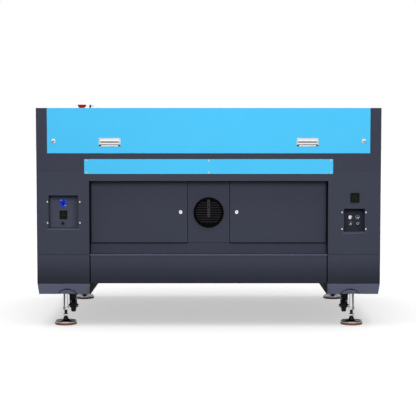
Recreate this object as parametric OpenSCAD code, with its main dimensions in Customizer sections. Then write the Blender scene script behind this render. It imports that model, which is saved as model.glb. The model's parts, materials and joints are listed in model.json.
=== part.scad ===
// Laser engraver with a floor-standing cabinet. Millimetres, +Z up, the origin on the
// floor under the middle of the cabinet. The operator stands at -Y and the service side
// is at +Y. "left" is -X and "right" is +X, as the operator sees them.

/* [Cabinet] */
// Overall width of the cabinet
body_w = 1540; // [1520:5:1600]
// Overall depth of the cabinet
body_d = 1030; // [1020:5:1060]
// Height of the flat top above the floor
body_top = 985; // [980:1:995]
// Height of the cabinet's lowest face above the floor
body_bottom = 143; // [142:1:150]
// Depth and height of the chamfers under the pedestals
chamfer = 55; // [50:1:58]
// Thickness of the folded sheets
sheet = 3; // [2:0.5:3]
// Height of the joint between the lower and the upper cabinet
joint_z = 702; // [700:1:704]
// Width of each pedestal
pedestal_w = 235; // [230:1:240]
// Width of the posts at the ends of the rear cover
post_w = 49; // [45:1:52]

/* [Service bay] */
// Depth of the bay between the pedestals
bay_depth = 65; // [60:1:68]
// Height of the bay's ledge
bay_low = 328; // [324:1:332]
// Height of the underside of the beam over the bay
bay_high = 659; // [655:1:663]
// Height of the lower edge of the doors
door_low = 378; // [374:1:382]
// Half of the width of the fixed panel between the doors
centre_half = 94; // [92:1:96]
// Height of the middle of the exhaust
exhaust_z = 515; // [510:1:520]
// Outer radius of the exhaust collar
exhaust_r = 68; // [66:1:70]

/* [Covers] */
// Height of the lower edge of the rear cover
cover_low = 782; // [780:1:784]
// Depth of the rear cover along the top
cover_depth = 212; // [208:1:216]
// Half of the width of the pass-through cover
strip_half = 556; // [552:1:558]
// Half of the width of the operator's lid
lid_half = 537; // [534:1:538]
// Height of the front face under the sloping front
front_top = 860; // [855:1:865]
// Depth of the sloping front
slope_depth = 185; // [180:1:190]

/* [Work area] */
// Width of the honeycomb bed
bed_w = 1000; // [980:5:1010]
// Depth of the honeycomb bed
bed_d = 600; // [580:5:610]
// Height of the bed's top at the upper end of its travel
bed_top = 700; // [698:1:700]
// Outer radius of the laser tube
tube_r = 40; // [36:1:42]
// Length of the laser tube
tube_length = 1220; // [1180:5:1225]

/* [Feet and casters] */
// Distance of the feet from the middle along X
foot_x = 654; // [650:1:658]
// Distance of the feet from the middle along Y
foot_y = 420; // [416:1:424]
// Radius of the feet's pads
pad_r = 50; // [46:1:50]
// Distance of the casters from the middle along X
caster_x = 629; // [625:1:633]
// Distance of the casters from the middle along Y
caster_y = 340; // [334:1:344]
// Radius of the caster wheels
wheel_r = 29; // [26:1:30]

/* [Hidden] */
$fn = 64;
// Gap that keeps neighbouring sheets apart
seam = 0.1;
half_w = body_w / 2;
half_d = body_d / 2;
skin_x = half_w - sheet;
skin_y = half_d - sheet;
inner_x = half_w - pedestal_w;
bay_y = half_d - bay_depth;
floor_z = body_bottom + chamfer + sheet;
cover_half = half_w - post_w;
cover_front = half_d - cover_depth;
foot_signs = [[1, 1], [-1, 1], [1, -1], [-1, -1]];

// Chamfered outline of the lower cabinet's sheets, as [y, z]
inset_chamfer = chamfer - sheet * (2 - sqrt(2));
// Wells over the feet
well_r = 50;
well_x = foot_x - 14;
well_y = half_d - chamfer - 24;
well_roof = body_bottom + chamfer - sheet - seam;

// Connection boxes: [centre x, centre z, width, height]
port_box = [651, 521, 132, 147];
hose_box = [-653, 483, 93, 104];
box_depth = 60;
box_back = skin_y - box_depth;

// Doors of the service bay
door_out = inner_x - 5;
door_in = centre_half + 3;
door_high = bay_high - 4;
door_y = bay_y + 0.5;
door_hinge_y = door_y + 6;
door_lock_x = door_in + 30;
door_lock_z = 516;

// Rear cover: latches and locks
latch_x = 441.6;
latch_z = 832.4;
latch_w = 98;
latch_h = 38.4;
latch_deep = 14;
latch_pin_z = latch_z + 11;
cam_x = 692;
cam_z = 838;
tube_floor = 757;

// Chamber and its lid
chamber_x = 590;
chamber_back = cover_front - 16;
hinge_y = chamber_back - 3;
slope_y = -half_d + slope_depth;
slope_angle = atan((body_top - front_top) / slope_depth);
slope_t = sheet / cos(slope_angle);
skin_top = front_top - slope_t - 1;
flange = 24;
window_half = 430;
window_back = 150;
window_front = -270;
slot_half = 525;
slot_top = 744;

// Hinge knuckles of the lid, the rear cover and the front flap
knuckle_x = 480;
knuckle_r = 2.6;

// Gas struts under the lid, as [y, z], and their parts along their own axis
strut_x = 520;
strut_base = [210, 915];
strut_tip = [-65, 960];
strut_run = strut_tip - strut_base;
strut_length = norm(strut_run);
strut_angle = atan2(strut_run[1], strut_run[0]);
strut_tube = 165;
rod_r = 4;

// Gantry
rail_x = 562;
rail_top = 790;
beam_y = 180;
beam_w = 50;
beam_low = 818;
beam_high = 862;
head_x = -180;
head_y = beam_y - beam_w / 2 - 32;
beam_line_z = 870;
shaft_y = -470;
shaft_z = 790;
motor_x = 452;
pulley_x = 532;

// Bed and its lift
bed_frame_low = bed_top - 45;
screw_x = bed_w / 2 + 6;
screw_y = bed_d / 2 - 20;
screw_r = 8;
lift_beam_z = 380;

// Laser tube compartment
tube_x = 85;
tube_y = 400;
tube_z = 870;
mirror_x = -572;

// Console
estop_x = 647;
switch_y = -285;
key_x = 605;
laser_switch_x = 570;

// ---- Shared shapes ----

module slab(x0, x1, y0, y1, z0, z1) {
  translate([x0, y0, z0])
    cube([x1 - x0, y1 - y0, z1 - z0]);
}

// Box given by its middle and its size
module block(middle, size) {
  translate(middle)
    cube(size, center = true);
}

module both_sides() {
  children();
  mirror([1, 0, 0])
    children();
}

// Extrudes an outline drawn as [y, z] from x0 along +X
module extrude_x(x0, length) {
  translate([x0, 0, 0])
    rotate([90, 0, 90])
      linear_extrude(length)
        children();
}

// Cylinders along +X and +Y from the point at
module rod_x(at, length, r) {
  translate(at)
    rotate([0, 90, 0])
      cylinder(h = length, r = r);
}

module rod_y(at, length, r) {
  translate(at)
    rotate([-90, 0, 0])
      cylinder(h = length, r = r);
}

module rod_z(at, length, r) {
  translate(at)
    cylinder(h = length, r = r);
}

// Pair of hinge knuckles along +X
module knuckles(y, z, r) {
  for (x = [-knuckle_x, knuckle_x])
    rod_x([x - 40, y, z], 80, r);
}

// Height of the sloping front's surface at depth y
function slope_z(y) = body_top - (slope_y - y) * tan(slope_angle);

// Outline of a cabinet sheet with two lower chamfers, as [y, z]
function cabinet_outline(y, low, high, cut) = [
  [-y + cut, low], [y - cut, low], [y, low + cut],
  [y, high], [-y, high], [-y, low + cut]
];

// ---- Lower cabinet ----

module end_sheet() {
  extrude_x(skin_x, sheet)
    polygon(cabinet_outline(half_d, body_bottom, joint_z, chamfer));
}

module inner_sheet() {
  low = body_bottom + sheet + seam;
  extrude_x(inner_x, sheet)
    polygon(cabinet_outline(skin_y - seam, low, joint_z, inset_chamfer));
}

module chamfer_sheet() {
  y = half_d - chamfer;
  run = sheet * sqrt(2);
  top = body_bottom + chamfer;
  difference() {
    extrude_x(inner_x, pedestal_w - sheet - seam)
      polygon([[half_d, top], [y, body_bottom], [y - run, body_bottom], [half_d - run, top]]);
    rod_z([well_x, well_y, body_bottom - 1], chamfer + 2, well_r);
  }
}

module bottom_sheet() {
  y = half_d - chamfer - sheet * sqrt(2) - seam;
  difference() {
    slab(inner_x, skin_x - seam, -y, y, body_bottom, body_bottom + sheet);
    for (side = [-1, 1])
      rod_z([well_x, side * well_y, body_bottom - 1], sheet + 2, well_r);
  }
}

// Round well that takes the top of a foot's sleeve
module foot_well() {
  y = half_d - chamfer - sheet * sqrt(2) - 2 * seam;
  intersection() {
    difference() {
      rod_z([well_x, well_y, body_bottom + sheet + seam], chamfer - sheet - 2 * seam, well_r + 2);
      rod_z([well_x, well_y, body_bottom], chamfer - sheet, well_r);
    }
    extrude_x(well_x - 2 * well_r, 4 * well_r)
      polygon([[0, body_bottom], [y, body_bottom], [y + chamfer, body_bottom + chamfer], [0, body_bottom + chamfer]]);
  }
}

module rear_skin() {
  z0 = body_bottom + chamfer + seam;
  difference() {
    slab(-skin_x + seam, skin_x - seam, skin_y, half_d, z0, joint_z);
    slab(-inner_x, inner_x, skin_y - 1, half_d + 1, z0 - 1, bay_high);
    for (b = [port_box, hose_box])
      block([b[0], half_d, b[1]], [b[2], 20, b[3]]);
  }
}

module front_skin() {
  z0 = body_bottom + chamfer + seam;
  difference() {
    slab(-skin_x + seam, skin_x - seam, -half_d, -skin_y, z0, joint_z);
    slab(-420, 420, -half_d - 1, -skin_y + 1, 245, 640);
  }
}

module lower_body() {
  color("#40424f") {
    both_sides() {
      end_sheet();
      inner_sheet();
      bottom_sheet();
      for (side = [0, 1])
        mirror([0, side, 0]) {
          chamfer_sheet();
          foot_well();
        }
    }
    rear_skin();
    front_skin();
    // Apron, ledge and roof of the service bay, and the cabinet's floor
    slab(-inner_x + 4, inner_x - 4, skin_y - 6, half_d - 6, floor_z - sheet, bay_low - sheet - seam);
    slab(-inner_x + seam, inner_x - seam, bay_y, half_d - 6, bay_low - sheet, bay_low);
    slab(-inner_x + seam, inner_x - seam, bay_y, skin_y - seam, bay_high, bay_high + sheet);
    slab(-inner_x + seam, inner_x - seam, -skin_y + seam, skin_y - 6 - seam, floor_z - sheet, floor_z);
  }
}

module rear_recess_wall() {
  color("#3c3e4a") {
    difference() {
      union() {
        slab(-inner_x + seam, inner_x - seam, bay_y - sheet, bay_y - seam, bay_low - sheet, bay_high + sheet);
        slab(-centre_half, centre_half, bay_y - 1, bay_y + sheet, door_low, door_high);
      }
      for (side = [-1, 1])
        block([side * (door_in + door_out) / 2, bay_y, (door_low + door_high) / 2],
              [door_out - door_in - 36, 20, door_high - door_low - 36]);
      rod_y([0, bay_y - 10, exhaust_z], 30, exhaust_r - 14);
    }
  }
}

// ---- Upper cabinet ----

module upper_end_sheet() {
  extrude_x(skin_x, sheet)
    polygon([[-half_d, joint_z + seam], [half_d, joint_z + seam], [half_d, body_top],
             [slope_y, body_top], [-half_d, front_top]]);
}

module upper_rear_skin() {
  difference() {
    slab(-skin_x + seam, skin_x - seam, skin_y, half_d, joint_z + seam, body_top);
    slab(-cover_half - 0.5, cover_half + 0.5, skin_y - 1, half_d + 1, cover_low, body_top + 1);
    slab(-slot_half, slot_half, skin_y - 1, half_d + 1, joint_z - 1, slot_top);
  }
}

module upper_front_skin() {
  difference() {
    slab(-skin_x + seam, skin_x - seam, -half_d, -skin_y, joint_z + seam, skin_top);
    slab(-slot_half, slot_half, -half_d - 1, -skin_y + 1, joint_z - 1, slot_top);
  }
}

// Sloping sheet of the front from x0 to x1
module slope_sheet(x0, x1) {
  back = slope_y - seam;
  front = -half_d + seam;
  extrude_x(x0, x1 - x0)
    polygon([[back, slope_z(back)], [front, slope_z(front)],
             [front, slope_z(front) - slope_t], [back, slope_z(back) - slope_t]]);
}

module upper_body() {
  color("#444655") {
    both_sides() {
      upper_end_sheet();
      // Post beside the rear cover
      slab(cover_half + 1, skin_x - seam, slope_y, skin_y - seam, body_top - sheet, body_top);
      slab(cover_half + 1, cover_half + 1 + sheet, cover_front + 4, skin_y - seam,
           cover_low, body_top - sheet - seam);
      // Side wall of the chamber
      slab(chamber_x, chamber_x + sheet, -skin_y + seam, chamber_back, joint_z + seam, front_top - 12);
      slab(chamber_x, chamber_x + sheet, slope_y, chamber_back, front_top - 12 + seam,
           body_top - sheet - seam);
      // Stud that carries a gas strut
      rod_x([strut_x - 6, strut_base[0], strut_base[1]], chamber_x - strut_x + 6 - seam, 5);
    }
    upper_rear_skin();
    upper_front_skin();
    // Beam between the lid and the rear cover, with room for the cover's knuckles
    difference() {
      slab(-cover_half, cover_half, chamber_back + seam, cover_front - seam, body_top - 45, body_top);
      for (x = [-knuckle_x, knuckle_x])
        rod_x([x - 41, cover_front, body_top], 82, knuckle_r + 0.3);
    }
    // Fixed cover at the left of the lid
    slab(-cover_half - 1 + seam, -lid_half - 3, slope_y, chamber_back, body_top - sheet, body_top);
    slope_sheet(-skin_x + seam, -lid_half - 3);
  }
}

module tube_bay_tray() {
  color("#8d929c") {
    slab(-cover_half, cover_half, cover_front, skin_y - seam, tube_floor - sheet, tube_floor);
    difference() {
      slab(-cover_half, cover_half, cover_front, cover_front + sheet, tube_floor + seam, body_top - 50);
      rod_y([mirror_x, cover_front - 1, beam_line_z], sheet + 2, 12);
    }
    // Cradles of the laser tube
    for (x = [tube_x - 420, tube_x + 420])
      difference() {
        slab(x - 12, x + 12, tube_y - 55, tube_y + 55, tube_floor + seam, tube_z);
        rod_x([x - 20, tube_y, tube_z], 40, tube_r + 0.5);
      }
  }
}

module control_console() {
  color("#4a4c5a")
    difference() {
      union() {
        slab(lid_half + 3, cover_half + 1 - seam, slope_y, chamber_back, body_top - sheet, body_top);
        for (at = [[estop_x, 20], [key_x, 15], [laser_switch_x, 13]])
          rod_z([at[0], switch_y, body_top - 1], 4, at[1]);
      }
      rod_z([estop_x, switch_y, body_top - 20], 40, 11.06);
      rod_z([key_x, switch_y, body_top - 20], 40, 9.06);
      rod_z([laser_switch_x, switch_y, body_top - 20], 40, 8.06);
    }
  color("#4a4c5a")
    slope_sheet(lid_half + 3, skin_x - seam);
}

// Screen and keys on the console's slope
module display_panel() {
  z = (body_top + front_top) / 2;
  y = (slope_y - half_d) / 2;
  color("#202228")
    translate([(lid_half + skin_x) / 2, y, z])
      rotate([slope_angle, 0, 0]) {
        difference() {
          translate([-90, -66, 0.1])
            cube([180, 132, 9.5]);
          translate([-78, -12, 8])
            cube([156, 66, 4]);
        }
        for (row = [0, 1], column = [0 : 6])
          block([-72 + 24 * column, -50 + 24 * row, 9.6], [17, 15, 3]);
      }
}

module passthrough_cover() {
  color("#4bbeee")
    slab(-strip_half, strip_half, half_d + seam, half_d + seam + 2, joint_z - 11, tube_floor);
}

// ---- Fasteners, sockets and fittings ----

// Domed screw head that faces +Y
module screw_head(x, y, z, r) {
  translate([x, y, z])
    rotate([-90, 0, 0])
      difference() {
        union() {
          cylinder(h = 1.2, r = r);
          translate([0, 0, 1.2])
            cylinder(h = 1, r1 = r, r2 = r * 0.6);
        }
        translate([0, 0, 1])
          cylinder(h = 3, r = r * 0.45, $fn = 6);
      }
}

module panel_screws() {
  color("#c8ccd2") {
    for (x = [-strip_half + 9.5, 0, strip_half - 9.5], z = [joint_z - 5, tube_floor - 6])
      screw_head(x, half_d + seam + 2.1, z, 3.5);
    for (x = [577, 722], z = [472, 566])
      screw_head(x, half_d + seam, z, 3.5);
    for (x = [-598, -705], z = [444, 519])
      screw_head(x, half_d + seam, z, 3.5);
  }
}

// Open tray behind the cabinet's skin
module connection_box(b) {
  difference() {
    union() {
      block([b[0], (box_back + skin_y) / 2 - seam, b[1]], [b[2] + 4, box_depth, b[3] + 4]);
      block([b[0], skin_y - 1 - seam, b[1]], [b[2] + 20, 2, b[3] + 14]);
    }
    block([b[0], (box_back + skin_y) / 2 + 2, b[1]], [b[2], box_depth + 0.2, b[3]]);
  }
}

module connection_boxes() {
  color("#3a3c47") {
    connection_box(port_box);
    connection_box(hose_box);
  }
}

module data_port() {
  y = box_back + 2;
  color("#2a4dff")
    difference() {
      union() {
        block([658, y + 1.5, 558], [26, 3, 31]);
        rod_y([658, y, 558], 8, 12);
      }
      rod_y([658, y + 5, 558], 8, 9.5);
    }
}

// Flush mains outlet that faces +Y, with three shallow slots
module mains_outlet(x, y, z, w, h) {
  difference() {
    block([x, y + 3, z], [w, 6, h]);
    block([x, y + 6, z], [w - 10, 5, h - 12]);
  }
  for (pin = [[-7, -3], [7, -3], [0, 6]])
    block([x + pin[0], y + 4.4, z + pin[1]], [2.2, 2, 6]);
}

module power_sockets() {
  color("#17181c") {
    mains_outlet(657, box_back + 2, 504, 34, 38);
    mains_outlet(-654, half_d + seam, 585, 40, 43);
  }
  // Cable gland
  color("#17181c")
    difference() {
      rod_y([660, box_back + 2, 466], 10, 9);
      rod_y([660, box_back + 4, 466], 10, 4.5);
    }
}

module hose_fittings() {
  y = box_back + 2;
  color("#c9ccd0") {
    // Blank plug
    rod_y([-640.5, y, 493], 7, 9.5);
    // Water inlet and outlet, each a barb on a collar
    for (at = [[-674, 493, 10.4], [-640.5, 465, 9]]) {
      rod_y([at[0], y, at[1]], 6, at[2]);
      rod_y([at[0], y + 5, at[1]], 21, 5);
    }
    // Push-in air fitting
    difference() {
      rod_y([-674, y, 465], 18, 8);
      rod_y([-674, y + 3, 465], 20, 4);
    }
  }
}

// ---- Exhaust ----

module exhaust_grille() {
  y = bay_y + sheet + seam;
  inner = exhaust_r - 14;
  color("#0f1013") {
    difference() {
      rod_y([0, y, exhaust_z], 14, exhaust_r);
      rod_y([0, y - 1, exhaust_z], 16, inner);
    }
    intersection() {
      rod_y([0, y, exhaust_z], 14, inner + 1);
      union() {
        for (i = [-4 : 4])
          block([0, y + 5, exhaust_z + i * 10.8], [2 * exhaust_r, 6, 4.4]);
        slab(-6.5, 6.5, y + 1, y + 9, exhaust_z - 18, exhaust_z + exhaust_r);
      }
    }
  }
}

module fan_housing() {
  y = bay_y - sheet - seam;
  color("#1b1c20") {
    difference() {
      union() {
        rod_y([0, y - 100, exhaust_z], 100, exhaust_r + 10);
        rod_y([0, y - 4, exhaust_z], 4, exhaust_r + 22);
      }
      rod_y([0, y - 96, exhaust_z], 100, exhaust_r);
      rod_y([0, y - 101, exhaust_z], 10, 34);
    }
    // Motor at the back of the housing
    rod_y([0, y - 131, exhaust_z], 30.5, 45);
    rod_y([0, y - 101, exhaust_z], 26, 5);
  }
}

module fan_impeller() {
  y = bay_y - sheet - 80;
  color("#55585f") {
    difference() {
      union() {
        rod_y([0, y, exhaust_z], 30, 22);
        for (a = [0 : 45 : 315])
          translate([0, y + 2, exhaust_z])
            rotate([0, a, 0])
              translate([16, 0, 0])
                rotate([28, 0, 0])
                  cube([44, 20, 3]);
      }
      rod_y([0, y - 5, exhaust_z], 12, 5.06);
    }
  }
}

// ---- Laser and optics ----

module laser_tube() {
  color("#dfe6ea") {
    rod_x([tube_x - tube_length / 2, tube_y, tube_z], tube_length, tube_r);
    for (x = [tube_x - tube_length / 2 - 20, tube_x + tube_length / 2 - 0.5])
      rod_x([x, tube_y, tube_z], 20.5, tube_r * 0.62);
  }
}

// Mirror holder that turns the beam, on a post
module mirror_mount(x, y, low) {
  slab(x - 15, x + 15, y - 15, y + 15, low, beam_line_z - 24);
  translate([x, y, beam_line_z])
    rotate([0, 0, 45])
      difference() {
        cube([46, 12, 50], center = true);
        rod_y([0, 0, 0], 10, 13);
      }
}

module optics_mounts() {
  color("#b9bdc4")
    mirror_mount(mirror_x, tube_y, tube_floor + seam);
}

module linear_guides() {
  color("#aeb3ba") {
    // Gantry rails on their brackets
    both_sides() {
      slab(rail_x - 10, rail_x + 10, -440, chamber_back - 6, rail_top - 20, rail_top);
      slab(rail_x + 10 + seam, chamber_x - seam, -440, chamber_back - 6, rail_top - 26, rail_top - 14);
    }
    // Lift screws and the beams that carry them
    for (x = [-screw_x, screw_x], y = [-screw_y, screw_y])
      rod_z([x, y, lift_beam_z + 20 + seam], bed_top - lift_beam_z - 28, screw_r);
    for (y = [-screw_y, screw_y])
      slab(-inner_x + seam, inner_x - seam, y - 20, y + 20, lift_beam_z, lift_beam_z + 20);
  }
}

module drive_motors() {
  color("#24262b") {
    // Gantry motor on its bracket inside the front skin
    block([motor_x, shaft_y, shaft_z + 46], [76, 50, 50]);
    slab(motor_x - 20, motor_x + 20, -skin_y + seam, shaft_y - 24, shaft_z + 26, shaft_z + 66);
    rod_x([motor_x + 37, shaft_y, shaft_z + 46], 24, 7);
    // Lift motor on the cabinet's floor
    block([380, 0, floor_z + 43.5], [86, 86, 86]);
    rod_z([380, 0, floor_z + 86], 30, 8);
    // Bearing blocks of the drive shaft
    for (x = [-498, 386])
      difference() {
        slab(x - 10, x + 10, -skin_y + seam, shaft_y + 22, shaft_z - 18, shaft_z + 22);
        rod_x([x - 12, shaft_y, shaft_z], 24, 6.05);
      }
  }
}

module y_drive_shaft() {
  color("#c3c7cc") {
    rod_x([-pulley_x - 12, shaft_y, shaft_z], 2 * pulley_x + 24, 6);
    for (x = [-pulley_x, pulley_x, 502])
      rod_x([x - 8, shaft_y, shaft_z], 16, 14);
  }
}

module electronics() {
  low = body_bottom + sheet + seam;
  color("#9aa0a8") {
    // Laser supply and the beam's blower in the left pedestal
    slab(-755, -570, -300, 60, low, low + 150);
    slab(-700, -560, 120, 330, low, low + 60);
    // Plate with the controller and the drivers in the right pedestal
    slab(skin_x - 9, skin_x - seam, -400, 330, low + 60, low + 480);
    for (y = [-320 : 110 : 10])
      slab(skin_x - 67, skin_x - 9 - seam, y, y + 80, low + 280, low + 440);
    slab(skin_x - 87, skin_x - 9 - seam, -340, 60, low + 90, low + 230);
  }
}

// ---- Feet and casters ----

module foot_caster_mounts() {
  color("#d2d5da")
    for (s = foot_signs) {
      difference() {
        union() {
          rod_z([s[0] * foot_x, s[1] * foot_y, 67], well_roof - 67, 12.5);
          translate([s[0] * foot_x, s[1] * foot_y, 67])
            cylinder(h = 12, r = 18, $fn = 6);
        }
        rod_z([s[0] * foot_x, s[1] * foot_y, 60], 110, 7.06);
      }
      block([s[0] * caster_x, s[1] * caster_y, body_bottom - 2.6], [78, 68, 5]);
      rod_z([s[0] * caster_x, s[1] * caster_y, body_bottom - 12], 8, 20);
    }
}

// Foot i: a pad on a stem that screws into the sleeve
module levelling_foot(i) {
  s = foot_signs[i];
  translate([s[0] * foot_x, s[1] * foot_y, 0]) {
    color("#8a4a32")
      cylinder(h = 11, r = pad_r);
    color("#c9cdd2") {
      translate([0, 0, 11])
        cylinder(h = 9, r1 = pad_r - 1, r2 = pad_r - 9);
      translate([0, 0, 20])
        cylinder(h = 12, r1 = 24, r2 = 13);
      translate([0, 0, 20])
        cylinder(h = 100, r = 7);
    }
  }
}

// The wheel's axle lies behind the swivel's axis
caster_trail = 16;
axle_z = 42 + wheel_r;

module caster_fork(i) {
  s = foot_signs[i];
  top = body_bottom - 12.6;
  color("#1d1f24")
    translate([s[0] * caster_x, s[1] * caster_y, 0]) {
      rod_z([0, 0, top - 6], 6, 21);
      for (side = [-1, 1])
        hull() {
          translate([side * 14.5 - 1.5, -18, top - 6])
            cube([3, 36, 3]);
          rod_x([side * 14.5 - 1.5, -s[1] * caster_trail, axle_z], 3, 10, $fn = 32);
        }
      // Axle with its nuts
      rod_x([-19, -s[1] * caster_trail, axle_z], 38, 4);
      for (side = [-1, 1])
        rod_x([side * 19 - 3, -s[1] * caster_trail, axle_z], 6, 8);
      // Brake pedal
      translate([-13, s[1] * 18 - 2, top - 30])
        cube([26, 4, 27]);
    }
}

module caster_wheel(i) {
  s = foot_signs[i];
  color("#141518")
    translate([s[0] * caster_x, s[1] * (caster_y - caster_trail), axle_z])
      rotate([0, 90, 0])
        rotate_extrude()
          polygon([[4.06, -11], [14, -11], [16, -9], [wheel_r - 3, -10], [wheel_r, -7],
                   [wheel_r, 7], [wheel_r - 3, 10], [16, 9], [14, 11], [4.06, 11]]);
}

// ---- Rear cover ----

module rear_cover() {
  color("#50c5f8")
    difference() {
      union() {
        slab(-cover_half, cover_half, cover_front + 0.5, half_d, body_top - sheet, body_top);
        slab(-cover_half, cover_half, skin_y, half_d, cover_low + 1, body_top);
        for (side = [-1, 1])
          slab(side > 0 ? cover_half - 2 : -cover_half, side > 0 ? cover_half : -cover_half + 2,
               cover_front + 0.5, half_d, body_top - 22, body_top);
        knuckles(cover_front, body_top, knuckle_r);
      }
      for (x = [-latch_x, latch_x])
        block([x, half_d, latch_z], [latch_w - 8, 20, latch_h - 8]);
      for (x = [-cam_x, cam_x])
        rod_y([x, half_d - 10, cam_z], 20, 8.06);
    }
}

// Cups of the two pull latches
module latch_bezels() {
  color("#d9dcdf")
    for (x = [-latch_x, latch_x])
      difference() {
        union() {
          block([x, half_d + 1.3, latch_z], [latch_w, 2.4, latch_h]);
          block([x, half_d - latch_deep / 2 + 1, latch_z], [latch_w - 8.6, latch_deep + 2, latch_h - 8.6]);
        }
        block([x, half_d - latch_deep / 2 + 4, latch_z], [latch_w - 12, latch_deep + 4, latch_h - 12]);
      }
}

// Hinged upper flap of a latch; side is -1 at the left and 1 at the right
module latch_paddle(side) {
  w = latch_w - 13;
  color("#eceef0") {
    rod_x([side * latch_x - w / 2, half_d + 0.75, latch_pin_z], w, 1.25);
    slab(side * latch_x - w / 2, side * latch_x + w / 2,
         half_d - 0.5, half_d + 2, latch_pin_z - 11.5, latch_pin_z);
    slab(side * latch_x - w / 2 + 3.5, side * latch_x + w / 2 - 3.5,
         half_d - 5, half_d - 0.4, latch_pin_z - 4, latch_pin_z - 1);
  }
}

// Quarter-turn lock at (x, z) in a sheet whose outer face is at y, with its tongue inside
module quarter_lock(x, y, z, head_r, barrel_r) {
  difference() {
    rod_y([x, y + 0.3, z], 3, head_r);
    rod_y([x, y + 2.6, z], 3, 1.6);
  }
  rod_y([x, y - 14, z], 14.5, barrel_r);
  slab(x - 8, x + 8, y - 17, y - 14.05, z - 8, z + 26);
}

module left_cam_lock() {
  color("#e4e7ea")
    quarter_lock(-cam_x, half_d, cam_z, 10, 8);
}

module right_cam_lock() {
  color("#e4e7ea")
    quarter_lock(cam_x, half_d, cam_z, 10, 8);
}

// ---- Doors ----

// Service door on the side given by its sign
module rear_door(side) {
  middle = side * (door_in + door_out) / 2;
  w = door_out - door_in;
  color("#3f414d")
    difference() {
      union() {
        block([middle, door_y + sheet / 2, (door_low + door_high) / 2], [w, sheet, door_high - door_low]);
        // Hinge knuckles
        for (z = [door_low + 30, door_high - 60])
          rod_z([side * (door_out - 1), door_hinge_y, z], 30, 2.6);
        for (z = [door_low + 30, door_high - 60])
          slab(side * (door_out - 1) - 1.2, side * (door_out - 1) + 1.2, door_y + 1, door_hinge_y, z, z + 30);
      }
      rod_y([side * door_lock_x, door_y - 5, door_lock_z], 20, 6.56);
    }
}

module door_lock(side) {
  color("#e4e7ea")
    quarter_lock(side * door_lock_x, door_y + sheet, door_lock_z, 8.5, 6.5);
}

module front_door() {
  color("#444655") {
    slab(-432, 432, -half_d - 0.5 - sheet, -half_d - 0.5, 233, 652);
    // Tab to pull it by, and the hinge knuckles
    slab(400, 403, -half_d - 14, -half_d - 1, 410, 480);
    for (z = [290, 535])
      rod_z([-432, -half_d - 0.5 - sheet, z], 60, knuckle_r);
  }
}

module front_flap() {
  color("#4bbeee") {
    slab(-strip_half, strip_half, -half_d - 0.5 - sheet, -half_d - 0.5, joint_z - 11, tube_floor);
    slab(-60, 60, -half_d - 14, -half_d - 1, joint_z - 9, joint_z - 6);
    knuckles(-half_d - 0.5 - sheet, tube_floor, knuckle_r);
  }
}

// ---- Lid ----

// Folded outline of the lid, drop deep, down to its front edge at y, as [y, z]
function lid_outline(drop, y) = [
  [hinge_y - 2, body_top], [slope_y, body_top], [y, slope_z(y)],
  [y, slope_z(y) - drop / cos(slope_angle)],
  [slope_y, body_top - drop], [hinge_y - 2, body_top - drop]
];

module lid_frame() {
  color("#4d505f") {
    difference() {
      union() {
        extrude_x(-lid_half, 2 * lid_half)
          polygon(lid_outline(sheet, -half_d + seam));
        both_sides()
          extrude_x(lid_half - sheet, sheet)
            polygon(lid_outline(flange, -half_d + 8));
      }
      slab(-window_half, window_half, window_front, window_back, body_top - 10, body_top + 1);
    }
    // Studs for the tips of the gas struts
    both_sides()
      rod_x([strut_x + 6, strut_tip[0], strut_tip[1]], lid_half - strut_x - 6 - seam, 5);
    knuckles(hinge_y, body_top, knuckle_r + 0.3);
  }
}

module lid_window() {
  color([0.45, 0.16, 0.06, 0.6])
    slab(-window_half - 15, window_half + 15, window_front - 15, window_back + 15,
         body_top - sheet - seam - 5, body_top - sheet - seam);
}

module lid_handle() {
  y = (slope_y - half_d) / 2 - 20;
  color("#d5d8dc")
    translate([0, y, slope_z(y)])
      rotate([slope_angle, 0, 0]) {
        for (x = [-120, 120])
          rod_z([x, 0, 0.3], 30, 7);
        rod_x([-120, 0, 30], 240, 8);
        for (x = [-120, 120])
          translate([x, 0, 30])
            sphere(r = 8);
      }
}

// Places its children along a strut's axis at the given side
module on_strut(side) {
  translate([side * strut_x, strut_base[0], strut_base[1]])
    rotate([strut_angle, 0, 0])
      children();
}

module strut_cylinder(side) {
  color("#16171a")
    on_strut(side)
      difference() {
        union() {
          rod_y([0, 12, 0], strut_tube, 9);
          rod_x([-7, 0, 0], 14, 11);
          rod_y([0, 7, 0], 10, 6);
        }
        rod_y([0, 22, 0], strut_tube, rod_r + 0.06);
        rod_x([-8, 0, 0], 16, 5.06);
      }
}

module strut_rod(side) {
  color("#d7dade")
    on_strut(side) {
      rod_y([0, 40, 0], strut_length - 44, rod_r);
      rod_x([-5, strut_length, 0], 10, 9);
    }
}

// ---- Gantry and bed ----

module gantry_beam() {
  color("#c0c4ca") {
    block([0, beam_y, (beam_low + beam_high) / 2], [2 * pulley_x, beam_w, beam_high - beam_low]);
    both_sides()
      slab(pulley_x - 1, rail_x + 14, beam_y - 55, beam_y + 55, rail_top + 0.6, beam_low);
    both_sides()
      slab(pulley_x - 1, rail_x + 14, beam_y - 40, beam_y + 30, beam_low - 1, beam_low + 8);
    // Head motor at the right and the second mirror at the left
    slab(470, 530, beam_y + beam_w / 2 - 1, beam_y + beam_w / 2 + 50, beam_low - 12, beam_high);
    mirror_mount(mirror_x + 8, beam_y, beam_low);
  }
}

module laser_head() {
  low = bed_top + 12;
  color("#c94a2c") {
    slab(head_x - 38, head_x + 38, head_y - 8, beam_y - beam_w / 2 - 0.6, beam_low - 22, beam_high - 6);
    slab(head_x - 24, head_x + 24, head_y - 30, head_y - 7, beam_low - 10, beam_high + 18);
    rod_z([head_x, head_y - 12, low + 34], beam_low - low - 20, 14);
    translate([head_x, head_y - 12, low])
      cylinder(h = 34.5, r1 = 4, r2 = 14);
  }
}

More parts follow.
